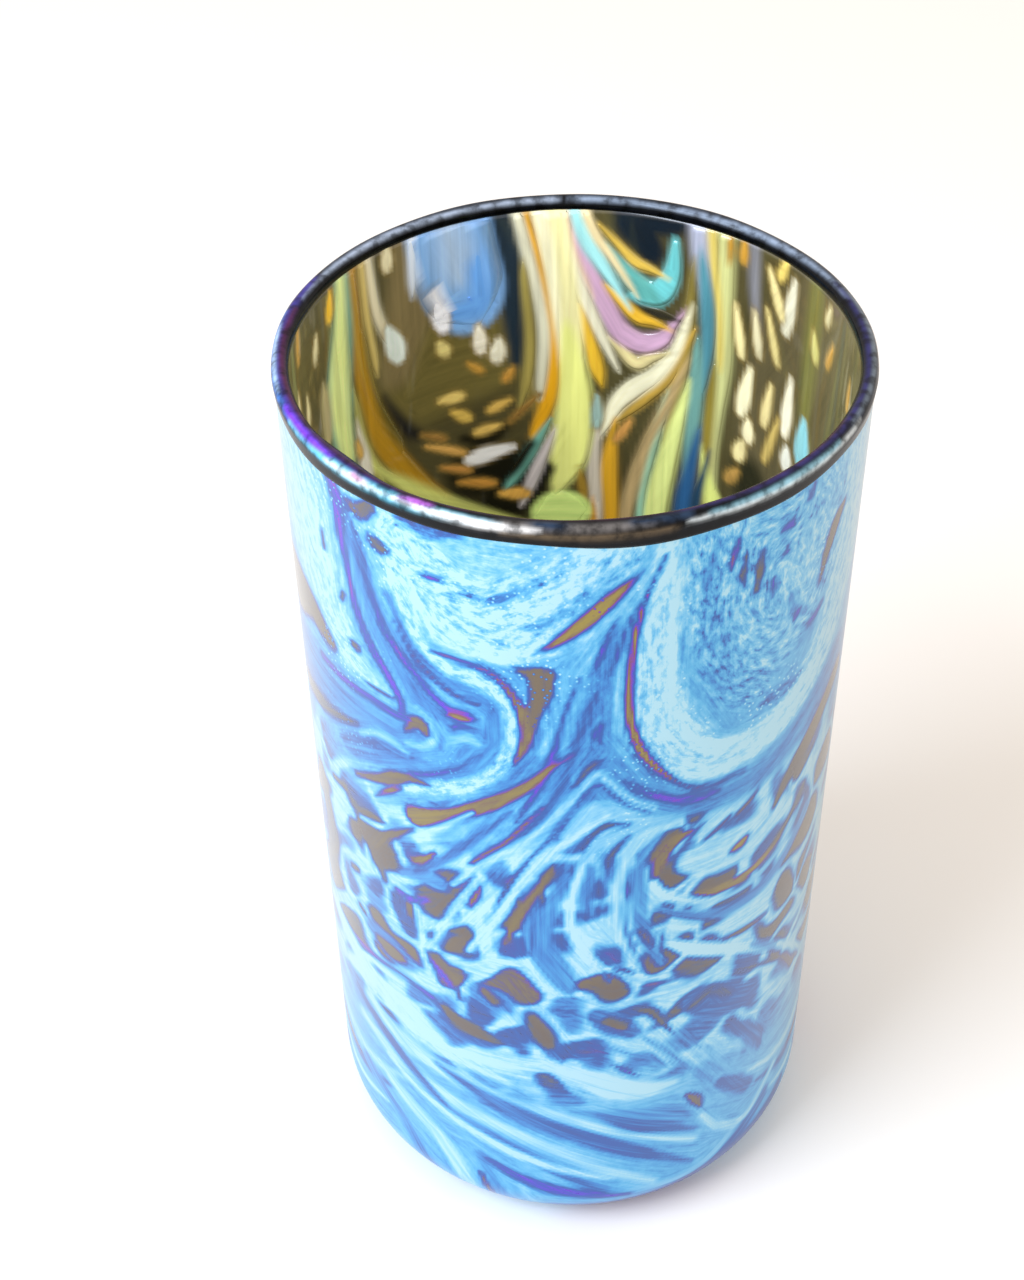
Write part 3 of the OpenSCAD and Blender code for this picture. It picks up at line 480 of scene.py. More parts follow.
    (PALE, 1.4, 0, 0, [(-60, 38, 1.4), (-44, 35.4, 1.8), (-30, 33, 1.8), (-16, 29.6, 1.4), (-4, 24.6, 1.4),
                       (8, 18, 1.2), (18, 12.6, 0.8)]),
    (AZURE, 1, 0, 0, [(-40, 31, 0.8), (-27, 28.6, 1.2), (-15, 24.8, 1.4), (-4, 19, 1.4), (6, 12.6, 1)]),
    (ROYAL, 0.8, 0, 0, [(-22, 27.2, 0.3), (-13, 23.4, 1), (-3, 17.6, 1.2), (5, 12, 0.8)]),
    (PALE, 1.2, 0, 0, [(-50, 27, 1.6), (-38, 22, 2), (-30, 14, 2), (-26, 4, 1.4)]),
    (AZURE, 1, 0, 0, [(-60, 24, 2), (-46, 17, 1.4), (-38, 8, 1.2), (-34, 0, 1)]),
    (AZURE, 0.8, 0, 0, [(-24, 20, 1), (-20, 12, 1.2), (-17, 3, 1)]),
    (TAUPE, 0.8, 0, 0.3, [(-23.6, 14, 0.4), (-22, 9, 0.7), (-21, 4, 0.4)]),
    (CYAN, 0.6, 0, 0, [(-15, 17, 0.5), (-12, 10, 0.8), (-9, 1, 0.7)]),
    (ROYAL, 1.4, 0, 0, [(-6, 6, 1.6), (4, 4, 3.4), (16, 4, 4), (28, 6.6, 3.4), (40, 11, 2.4), (52, 18, 2)]),
    (VIOLET, 1, 0, 0, [(0, 0, 0.8), (14, -2, 1.4), (30, 1, 1)]),
    (CYAN, 0.8, 0, 0, [(10, 13.6, 0.5), (20, 10.4, 0.8), (32, 11.6, 1), (42, 17, 0.8)]),
    (PALE, 1, 0, 0, [(30, 27, 0.8), (35, 21, 1.2), (44, 17, 1), (56, 24, 1)]),
    # Threads drawn down and to the left across the middle.
    (WHITE, 0.8, 0.2, 0, [(5, 112, 0.3), (-1, 108, 0.7), (-7, 103, 0.9), (-13, 95, 0.8), (-18, 86, 0.9),
                          (-24, 77, 0.6)]),
    (PALE, 0.7, 0.2, 0, [(-3, 115, 0.2), (-7, 110, 0.5), (-13, 104.6, 0.7), (-20, 99, 0.7), (-27, 92, 0.5)]),
    (TAUPE, 0.7, 0, 0.4, [(-6, 100, 0.3), (-11, 92, 0.9), (-14, 86, 0.9), (-16, 81, 0.3)]),
    (AZURE, 0.9, 0, 0, [(-3, 99, 0.5), (-7, 90, 1.5), (-8, 82, 1.9), (-5, 75, 1.2)]),
    (WHITE, 0.8, 0.2, 0, [(0, 101, 0.4), (-2.6, 91, 0.8), (-1, 83, 0.9), (4, 76, 0.7)]),
    (PALE, 0.7, 0.2, 0, [(-20, 96, 0.3), (-26, 88, 0.7), (-30, 80, 0.8), (-34, 73, 0.4)]),
    (ROYAL, 0.8, 0, 0, [(-14, 112, 0.3), (-22, 104, 0.9), (-29, 97, 1), (-36, 91, 0.4)]),
    (WHITE, 0.8, 0.1, 0, [(-22, 110, 0.3), (-31, 103, 0.7), (-41, 98, 0.8), (-52, 95, 0.5)]),
    (TAUPE, 0.9, 0, 0.2, [(-36, 101, 0.4), (-43, 96, 1.1), (-48, 91, 0.8)]),
    # Broad sweeps above the heel.
    (WHITE, 2, 0.2, 0, [(-78, 60, 2), (-62, 56, 3), (-46, 51, 2.6), (-30, 47, 1.8), (-16, 44, 0.8)]),
    (ROYAL, 1.3, 0, 0, [(-34, 42, 0.5), (-24, 39, 1.5), (-13, 35, 2.2), (-3, 31, 1.8), (5, 28, 0.6)]),
    (ROYAL, 1.3, 0, 0, [(4, 36, 0.5), (12, 32, 2), (20, 28.5, 1.8), (28, 24, 0.6)]),
    (ROYAL, 1.2, 0, 0, [(-62, 44, 0.6), (-50, 40, 1.6), (-40, 35, 1.4), (-32, 31, 0.5)]),
    (WHITE, 1, 0.2, 0, [(-50, 34, 0.4), (-34, 29, 1), (-18, 24, 1.2), (-2, 19, 0.8), (8, 16, 0.3)]),
    (VIOLET, 1.2, 0, 0, [(-22, 19, 0.6), (-12, 15, 1.6), (0, 12, 1.6), (12, 10, 0.6)]),
    (0.28, 2, 0, 0.2, [(-10, 3, 0.8), (6, 2, 3.4), (26, 4, 4.4), (46, 8, 3.6), (62, 13, 1.6)]),
]
print(len(SKIN_STROKES), "strokes on the front of the skin")

# The two sides, between the front and the back, have a few sweeps of their own.
SIDE_STROKES = [
    (AZURE, 1.6, 0.3, 0, [(-14, 165, 1), (-10, 150, 2), (-4, 136, 3), (4, 124, 3), (12, 112, 2)]),
    (VIOLET, 0.6, 0, 0, [(-12, 162, 0.3), (-8, 150, 0.7), (-3, 138, 0.8), (4, 127, 0.8), (11, 117, 0.3)]),
    (PALE, 1, 0.6, 0, [(-6, 164, 1), (-2, 151, 1.6), (5, 139, 1.6), (13, 129, 1.2)]),
    (TAUPE, 0.6, 0, 0.5, [(-1, 147, 0.2), (3, 138, 1.1), (7, 131, 1.3), (12, 126, 0.4)]),
    (ROYAL, 0.8, 0, 0, [(-14, 121, 0.5), (-5, 112, 1.3), (4, 104, 1.4), (13, 98, 0.8)]),
    (WHITE, 0.9, 0, 0, [(-15, 112, 0.8), (-5, 104, 1.3), (4, 96, 1.3), (15, 88, 1)]),
    (ROYAL, 0.9, 0, 0, [(-9, 88, 2), (-4, 85, 2.8), (1, 82, 1.6)]),
    (TAUPE, 0.9, 0, 0.2, [(-8, 88, 1), (-4, 85, 1.6), (0, 82.6, 0.8)]),
    (TAUPE, 0.8, 0, 0, [(5, 76, 1.2), (9, 73, 1.6), (12, 69, 0.6)]),
    (ROYAL, 0.9, 0, 0, [(-10, 70, 1.5), (-5, 66, 2.2), (-1, 61, 1)]),
    (PALE, 1.4, 0.2, 0, [(-46, 31, 0.6), (-31, 27, 1.6), (-16, 30, 1.9), (-4, 38, 1.6), (6, 48, 0.8)]),
    (ROYAL, 1.1, 0, 0, [(-42, 25, 0.5), (-28, 21.6, 1.6), (-13, 24.6, 1.8), (0, 33, 1.3), (8, 42, 0.5)]),
    (TAUPE, 0.9, 0, 0.2, [(-26, 22.4, 0.3), (-18, 23, 0.9), (-9, 26.6, 1), (-3, 31, 0.4)]),
    (WHITE, 0.9, 0.1, 0, [(-38, 18, 0.4), (-24, 16, 1), (-11, 19, 1.1), (2, 27, 0.9), (10, 35, 0.3)]),
]
# Long sweeps run from each side round to the back, over its strokes, so it isn't a plain mirror.
SIDE_SWEEPS = [
    (AZURE, 3, 0.3, 0, [(-4, 166, 2), (2, 150, 4), (12, 136, 5), (26, 126, 5), (44, 121, 3)]),
    (ROYAL, 1.2, 0, 0, [(0, 160, 0.4), (6, 146, 1.3), (16, 132, 1.8), (30, 121.5, 1.8), (48, 116, 0.8)]),
    (TAUPE, 0.8, 0, 0.5, [(12, 142, 0.3), (20, 134, 1.2), (30, 128.6, 1.5), (40, 126, 0.4)]),
    (WHITE, 1.2, 0.3, 0, [(-2, 150, 0.6), (4, 136, 1.7), (14, 124, 2.1), (30, 114.6, 2.1), (48, 110, 1.2)]),
    (VIOLET, 0.7, 0, 0, [(3, 132, 0.3), (13, 119, 0.8), (28, 109.6, 0.8), (46, 105.4, 0.4)]),
    (PALE, 2, 0.3, 0, [(-14, 58, 1), (0, 48, 2.6), (18, 39, 3.6), (38, 34, 3.4), (60, 35, 2)]),
    (ROYAL, 1.4, 0, 0, [(-10, 48, 0.6), (4, 40, 1.8), (22, 31, 2.4), (42, 27, 2), (58, 27, 0.8)]),
    (TAUPE, 0.9, 0, 0.3, [(8, 38, 0.3), (17, 33, 1), (27, 29.6, 1.1), (36, 28, 0.3)]),
    (WHITE, 1.2, 0.2, 0, [(-13, 42, 0.6), (2, 32, 1.4), (20, 23.4, 1.7), (40, 19, 1.3), (58, 18, 0.6)]),
    (AZURE, 1.4, 0, 0, [(-15, 34, 0.8), (0, 25, 2), (18, 17, 2.4), (38, 12.6, 1.8), (56, 12, 0.8)]),
    (0.28, 2, 0, 0.2, [(-17, 15, 1), (-3, 9, 2.8), (16, 5.4, 3.8), (38, 3, 3.8), (62, 3, 3)]),
    (CYAN, 0.9, 0, 0, [(-9, 25, 0.4), (6, 16.6, 1), (23, 10.6, 1), (42, 8.4, 0.5)]),
]

# %% [markdown]
# ## The glass skin
# A blown cylinder is a profile turned round the axis. A ring of vertices is laid out as the
# wall's section, spun once round, and welded. The mesh is fine, about three quarters of a
# millimetre, because each vertex also carries the film, its grain and the combing's heading.


# %% Turning a section into a vessel
def line_up(start, end, step):
    """Points from start towards end, at about this spacing, without the end itself."""
    count = max(1, round(math.dist(start, end) / step))
    return [(start[0] + (end[0] - start[0]) * i / count, start[1] + (end[1] - start[1]) * i / count)
            for i in range(count)]


def arc(centre, radius, from_deg, to_deg, step):
    count = max(2, round(abs(math.radians(to_deg - from_deg)) * radius / step))
    turns = [math.radians(from_deg + (to_deg - from_deg) * i / count) for i in range(count)]
    return [(centre[0] + radius * math.cos(t), centre[1] + radius * math.sin(t)) for t in turns]


def turned(name, section, columns):
    """Spins a closed section of (radius, height) points once round the axis."""
    deselect()
    bpy.ops.mesh.primitive_circle_add(vertices=len(section), radius=0.01, fill_type="NOTHING")
    piece = bpy.context.object
    piece.name = name
    for vertex, (r, z) in zip(piece.data.vertices, section):
        vertex.co = (r, 0, z)
    bpy.ops.object.mode_set(mode="EDIT")
    bpy.ops.mesh.select_all(action="SELECT")
    bpy.ops.mesh.spin(steps=columns, angle=math.tau, center=(0, 0, 0), axis=(0, 0, 1))
    bpy.ops.mesh.select_all(action="SELECT")
    bpy.ops.mesh.remove_doubles(threshold=0.00002)
    bpy.ops.mesh.normals_make_consistent(inside=False)
    bpy.ops.object.mode_set(mode="OBJECT")
    bpy.ops.object.shade_smooth()
    return piece


def place_of(piece):
    co = np.empty(len(piece.data.vertices) * 3)
    piece.data.vertices.foreach_get("co", co)
    return co.reshape(-1, 3)


# %% Skin mesh
STEP = 0.72 * MM
COARSE = 12 * MM
COLUMNS = 360
EDGE = 0.2 * MM
pontil_ball_r = (PONTIL_R ** 2 + PONTIL_DEPTH ** 2) / (2 * PONTIL_DEPTH)
ball_z = PONTIL_DEPTH - pontil_ball_r
window_r = math.sqrt(pontil_ball_r ** 2 - (OVERLAY_T - ball_z) ** 2)
meet_r = BODY_R - OVERLAY_T
heel = (BODY_R - HEEL_R, HEEL_R)
section = (line_up((window_r, OVERLAY_T), (PONTIL_R, 0), 1.2 * MM)
           + line_up((PONTIL_R, 0), (heel[0], 0), 1.2 * MM)
           + arc(heel, HEEL_R, -90, 0, STEP)
           + line_up((BODY_R, HEEL_R), (BODY_R, WALL_TOP - EDGE), STEP)
           + [(BODY_R, WALL_TOP - EDGE), (BODY_R - EDGE, WALL_TOP), (meet_r, WALL_TOP)]
           + line_up((meet_r, WALL_TOP - COARSE), (meet_r, HEEL_R), COARSE)
           + arc(heel, HEEL_R - OVERLAY_T, 0, -90, 4 * MM)
           + [(heel[0], OVERLAY_T)])
skin = turned("lustre_skin", section, COLUMNS)
print("skin", len(skin.data.polygons), "faces")


# %% Laying the strokes on a wall
def wall_place(co, wall_r, heel_r, heel_z, facing=0):
    """Angle from the facing side in degrees, and millimetres up the wall, round the heel."""
    r = np.hypot(co[:, 0], co[:, 1])
    angle = np.degrees(np.arctan2(co[:, 0], -co[:, 1]))
    angle = (angle - facing + 180) % 360 - 180
    start = wall_r - heel_r
    turn = np.arctan2(heel_z - co[:, 2], np.maximum(r - start, 1e-9))
    h = np.where(co[:, 2] < heel_z, heel_z - heel_r * turn, co[:, 2])
    h = np.where(r < start, heel_z - heel_r * math.pi / 2 - (start - r), h)
    return angle, h / MM


def lay_strokes(angle, h, strokes, paint, comb, turn=0, flip=1, combs=True):
    """Lays (value, edge, points) strokes in order, centred on turn, mirrored if flip is -1."""
    x = flip * ((angle - turn + 180) % 360 - 180) * DEG_MM
    for value, soft, points in strokes:
        index, cover, heading, gap = stroke_cover(x, h, smooth_path(points), max(soft * SOFT_EDGE + 0.3, 0.6))
        paint[index] += (np.array(value) - paint[index]) * cover[:, None]
        hold = np.clip(1 - (gap - 0.3) / 4.5, 0, 1)[:, None] ** 2 * (combs and len(points) > 1)
        twice = np.column_stack([np.cos(2 * heading), flip * np.sin(2 * heading)])
        comb[index] += (twice - comb[index]) * hold


def store(piece, name, values, kind="FLOAT"):
    layer = piece.data.attributes.new(name, kind, "POINT")
    field = {"FLOAT": "value", "FLOAT_VECTOR": "vector", "FLOAT_COLOR": "color"}[kind]
    layer.data.foreach_set(field, np.ravel(values).astype(np.float32))


HEADINGS = 6


def store_combing(piece, comb):
    """Stores how much each of six fixed headings shares in the combing at each vertex."""
    comb = comb / (np.hypot(comb[:, 0], comb[:, 1]) + 1e-6)[:, None]
    twice = 2 * math.pi * np.arange(HEADINGS) / HEADINGS
    shares = np.maximum(comb @ np.array([np.cos(twice), np.sin(twice)]), 0) ** 6
    shares /= shares.sum(1)[:, None]
    store(piece, "combed_low", shares[:, :3], "FLOAT_VECTOR")
    store(piece, "combed_high", shares[:, 3:], "FLOAT_VECTOR")


def wall_uv(piece, angle, h):
    """A UV map that unrolls the wall, in units of 100 mm."""
    layer = piece.data.uv_layers.new(name="wall")
    corner = np.empty(len(piece.data.loops), int)
    piece.data.loops.foreach_get("vertex_index", corner)
    x = angle[corner]
    face = np.repeat(np.arange(len(piece.data.polygons)),
                     [p.loop_total for p in piece.data.polygons])
    high = np.full(len(piece.data.polygons), -1e9)
    np.maximum.at(high, face, x)
    x = np.where(high[face] - x > 180, x + 360, x)
    layer.data.foreach_set("uv", np.column_stack([x * DEG_MM, h[corner]]).ravel() / 100)


WEB_ROWS, WEB_COLUMNS = 10, 25
WEB_LOW, WEB_HIGH = 36, 112         # where the web fades out, in millimetres up the wall
FIRST_ROW, ROW_APART = 26, 9
CELL_FILMS = [TAUPE, TAUPE, 0.1, 0.28, 0.34, 0.4]
CELL_EDGE = 1.6                     # how gently a cell's film rises to the pale thread, in mm
BATCHES = 60                        # the wall is done in parts, to save memory


def web_cells():
    """Rows of cell centres, each with its film, the width of its border and its size."""
    rng = np.random.default_rng(11)
    cells = []
    for row in range(WEB_ROWS):
        for column in range(WEB_COLUMNS):
            a = (column + 0.5 * (row % 2) + rng.uniform(-0.3, 0.3)) / WEB_COLUMNS
            z = row + rng.uniform(-0.33, 0.33)
            deep = rng.choice(CELL_FILMS)
            border, size = rng.uniform(0.1, 0.8), rng.uniform(3.2, 5.4)
            cells += [(side * 360 * DEG_MM + (a * 360 - 180) * DEG_MM, FIRST_ROW + z * ROW_APART,
                       deep, border, size) for side in (-1, 0, 1)]
    return np.array(cells)


def webbed(angle, h, film):
    """Webbed glass: cells of bare and blue glass with pale threads pulled between them."""
    cells = web_cells()
    x = angle * DEG_MM
    strength = (np.clip((h - WEB_LOW) / 14, 0, 1)
                * np.clip((WEB_HIGH + 6 * np.sin(x / 17) - h) / 12, 0, 1))
    index = np.nonzero(strength > 0)[0]
    for some in np.array_split(index, BATCHES):
        # Waves bend the rows, and each row leans over with the combing above it.
        px = x[some] + 2.1 * np.sin(h[some] / 4.1 + 1) + 1.4 * np.sin(x[some] / 2.9 + h[some] / 3.3)
        ph = h[some] + 1.9 * np.sin(x[some] / 5.3) + 1.3 * np.sin(x[some] / 2.3 - h[some] / 2.6)
        lean = np.radians(np.interp(h[some], [40, 62, 80, 100], [-25, 0, 50, 65]))[:, None]
        dx, dh = cells[:, 0] - px[:, None], cells[:, 1] - ph[:, None]
        gap = np.hypot((dx * np.cos(lean) + dh * np.sin(lean)) / 1.5, dh * np.cos(lean) - dx * np.sin(lean))
        order = np.argpartition(gap, 1, axis=1)[:, :2]
        near, next_near = np.take_along_axis(gap, order, 1).T
        flip = near > next_near
        first = np.where(flip, order[:, 1], order[:, 0])
        edge = np.abs(next_near - near) / 2 - cells[first, 3]
        rim = cells[first, 4] - np.minimum(near, next_near)
        # A cell ends at its border or its size, and blending the two limits rounds its corners.
        limit = -np.logaddexp(-edge * CELL_EDGE, -rim * CELL_EDGE) / CELL_EDGE
        inside = np.clip((0.3 + limit) / CELL_EDGE, 0, 1)
        value = PALE + (cells[first, 2] - PALE) * inside * (2 - inside)
        film[some, 0] += (value - film[some, 0]) * strength[some]


angle, h = wall_place(place_of(skin), BODY_R, HEEL_R, HEEL_R)
film = np.tile([SKY, 0.3, 0.0], (len(h), 1))
comb = np.tile([-1.0, 0.0], (len(h), 1))
# Violet threads are always of the warmer, golden film.
strokes = [((f, grain, 0.9 if f == VIOLET else gold), soft, points)
           for f, soft, grain, gold, points in SKIN_STROKES]
sides, sweeps = ([((f, grain, gold), soft, points) for f, soft, grain, gold, points in some]
                 for some in (SIDE_STROKES, SIDE_SWEEPS))
GROUND = 6                          # the first strokes are the broad ground under the web
lay_strokes(angle, h, strokes[:GROUND], film, comb)
lay_strokes(angle, h, strokes[:GROUND], film, comb, 180)
webbed(angle, h, film)
for part, turn, flip in ((sides, 90, 1), (sides, -90, -1), (strokes[GROUND:], 180, -1),
                         (sweeps, 90, 1), (sweeps[::-1], -94, -1), (strokes[GROUND:], 0, 1)):
    lay_strokes(angle, h, part, film, comb, turn, flip)
for i, key in enumerate(("film", "grain", "gold")):
    store(skin, key, film[:, i])
store_combing(skin, comb)
wall_uv(skin, angle, h)
print("film runs from", film[:, 0].min(), "to", film[:, 0].max())

# %% [markdown]
# ## Silvered lustre glass
# The film value picks a colour from the interference series. Fine combing noise, stretched
# along each heading and shared out by the weights, frays the bands into threads, and a
# rounder noise speckles the grainy lobes. The glass is smooth, so it also has a clear coat.


# %% Lustre material
def combed_noise(tree, along_mm, across_mm, seed, detail=3.0):
    """Noise drawn out along the combing, from six fixed headings shared by weight."""
    place = add_node(tree, "ShaderNodeUVMap", uv_map="wall").outputs["UV"]
    shares = []
    for key in ("combed_low", "combed_high"):
        vector = add_node(tree, "ShaderNodeAttribute", attribute_name=key).outputs["Vector"]
        shares += list(add_node(tree, "ShaderNodeSeparateXYZ", {"Vector": vector}).outputs)
    total = None
    for i, share in enumerate(shares):
        mapping = add_node(tree, "ShaderNodeMapping", {"Vector": place}, vector_type="TEXTURE",
                           Rotation=(0, 0, math.pi * i / HEADINGS),
                           Scale=(along_mm / 100, across_mm / 100, 1), Location=(seed, i * 0.37, 0))
        noise = add_node(tree, "ShaderNodeTexNoise", {"Vector": mapping.outputs[0]},
                         noise_dimensions="2D", Scale=1.0, Detail=detail, Roughness=0.6)
        part = math_node(tree, "MULTIPLY", noise.outputs["Fac"], share)
        total = part if total is None else math_node(tree, "ADD", total, part)
    # The noise is centred on nought and fades out where the unrolled wall joins itself.
    x = add_node(tree, "ShaderNodeSeparateXYZ", {"Vector": place}).outputs["X"]
    edge = 1.8 * DEG_MM
    fade = add_node(tree, "ShaderNodeMapRange", {"Value": math_node(tree, "ABSOLUTE", x)})
    fade.inputs["From Min"].default_value = edge - 0.05
    fade.inputs["From Max"].default_value = edge
    fade.inputs["To Min"].default_value = 1
    fade.inputs["To Max"].default_value = 0
    return math_node(tree, "MULTIPLY", math_node(tree, "SUBTRACT", total, 0.5), fade.outputs["Result"])


def math_node(tree, operation, *values, clamp=False):
    node = add_node(tree, "ShaderNodeMath", operation=operation, use_clamp=clamp)
    for socket, value in zip(node.inputs, values):
        if isinstance(value, (int, float)):
            socket.default_value = value
        else:
            tree.links.new(value, socket)
    return node.outputs[0]


def mixed(tree, factor, first, second, blend="MIX"):
    node = add_node(tree, "ShaderNodeMix", data_type="RGBA", blend_type=blend)
    for index, value in ((0, factor), (6, first), (7, second)):
        if isinstance(value, (int, float, tuple)):
            node.inputs[index].default_value = value
        else:
            tree.links.new(value, node.inputs[index])
    return node.outputs[2]


INTERFERENCE = [(0.0, "#60544E"), (0.08, "#5E5656"), (0.14, "#50566A"), (0.2, "#3C4E80"), (0.27, "#284A92"),
                (0.36, "#1C52A0"), (0.45, "#2876C0"), (0.56, "#3893D0"), (0.68, "#51AADA"),
                (0.8, "#6EB8E0"), (0.9, "#88C5E1"), (1.0, "#A4D1E3")]
GOLDEN = [(0.0, "#8C7C38"), (0.07, "#7C6C46"), (0.12, "#744A46"), (0.17, "#842E94"), (0.24, "#5A2CCE")]
GOLDEN += [(0.3, "#2C46B0")] + INTERFERENCE[5:]


def silvered_lustre_glass():
    material, tree, shader = new_material("silvered lustre glass")
    film, grain, gold = (add_node(tree, "ShaderNodeAttribute", attribute_name=key).outputs["Fac"]
                         for key in ("film", "grain", "gold"))
    threads = math_node(tree, "MULTIPLY", combed_noise(tree, 15, 0.75, 0.0), 0.46)
    wisps = math_node(tree, "MULTIPLY", combed_noise(tree, 26, 2.4, 5.0, 2.0), 0.42)
    speckle = math_node(tree, "MULTIPLY", combed_noise(tree, 2.2, 1.15, 9.0, 4.0),
                        math_node(tree, "MULTIPLY", grain, 1.7))
    push = math_node(tree, "ADD", math_node(tree, "ADD", threads, wisps), speckle)
    # Bare pools are calmer than the pale glass.
    calm = math_node(tree, "MULTIPLY_ADD", film, 0.5, 0.55, clamp=True)
    # Painted glints: small pale dots pushed into the film along the upper swags, standing in for sparkles of
    # light.
    place = add_node(tree, "ShaderNodeUVMap", uv_map="wall").outputs["UV"]
    cells = add_node(tree, "ShaderNodeTexVoronoi", {"Vector": place}, voronoi_dimensions="2D", Scale=75.0)
    spread = add_node(tree, "ShaderNodeTexNoise", {"Vector": place}, noise_dimensions="2D", Scale=6.0)
    height = add_node(tree, "ShaderNodeSeparateXYZ", {"Vector": place}).outputs["Y"]
    painted_glints = math_node(tree, "MULTIPLY_ADD", cells.outputs["Distance"], -5.0, 1.0, clamp=True)
    painted_glints = math_node(tree, "MULTIPLY", painted_glints, math_node(
        tree, "MULTIPLY_ADD", spread.outputs["Fac"], 8.0, -4.2, clamp=True))
    upper = math_node(tree, "MULTIPLY_ADD", height, 3.0, -2.9, clamp=True)
    painted_glints = math_node(tree, "MULTIPLY", painted_glints, upper)
    film = math_node(tree, "MULTIPLY_ADD", film, 1.08, -0.012)
    total = math_node(tree, "ADD", film, math_node(tree, "MULTIPLY", push, calm), clamp=True)
    total = math_node(tree, "ADD", total, math_node(tree, "MULTIPLY", painted_glints, 0.7), clamp=True)
    place = add_node(tree, "ShaderNodeTexCoord").outputs["Object"]
    patches = add_node(tree, "ShaderNodeTexNoise", {"Vector": place}, Scale=55.0, Detail=1.0)
    rosy = math_node(tree, "MULTIPLY_ADD", patches.outputs["Fac"], 3.0, -1.6, clamp=True)
    gilt = math_node(tree, "MAXIMUM", gold, math_node(tree, "MULTIPLY", rosy, 0.55))
    colour = mixed(tree, gilt, ramp(tree, total, INTERFERENCE), ramp(tree, total, GOLDEN))
    # Seen edge on, a pale grey sheen is painted into the colour: a painted reflection of the bright
    # surroundings.
    edge_on = add_node(tree, "ShaderNodeLayerWeight", Blend=0.35).outputs["Facing"]
    pale = math_node(tree, "MULTIPLY", math_node(tree, "POWER", edge_on, 3.0), 0.75)
    # Low on the heel the painted sheen fades out, so the film stays deep blue there.
    pale = math_node(tree, "MULTIPLY", pale, math_node(tree, "MULTIPLY_ADD", height, 4.0, -0.6, clamp=True))
    colour = mixed(tree, pale, colour, linear("#B4B8BC"))
    tree.links.new(colour, shader.inputs["Base Color"])
    tree.links.new(math_node(tree, "MULTIPLY_ADD", total, 0.14, 0.24), shader.inputs["Roughness"])
    bump = add_node(tree, "ShaderNodeBump", {"Height": total}, Strength=0.35, Distance=0.12 * MM)
    tree.links.new(bump.outputs["Normal"], shader.inputs["Normal"])
    shader.inputs["Metallic"].default_value = 0.35
    shader.inputs["IOR"].default_value = 1.5
    shader.inputs["Coat Weight"].default_value = 0.25
    shader.inputs["Coat Roughness"].default_value = 0.12
    return material


def settle(piece, node, material):
    """Finishes a piece: gives it its material, hangs it on the root and hides the node it stands for."""
    piece.data.materials.clear()
    piece.data.materials.append(material)
    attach(piece, "root")
    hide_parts(node)
    triangles = sum(p.loop_total - 2 for p in piece.data.polygons)
    print(piece.name, triangles, "triangles")


settle(skin, "lustre_overlay", silvered_lustre_glass())

# %% [markdown]
# ## Inside the gather
# The inner wall is smoky olive glass with coloured trails dragged down it and bits of cream,
# white and honey glass scattered over it. Angles here are measured from the back, the side
# that faces the viewer across the mouth. Each stroke names the glass it is made of.

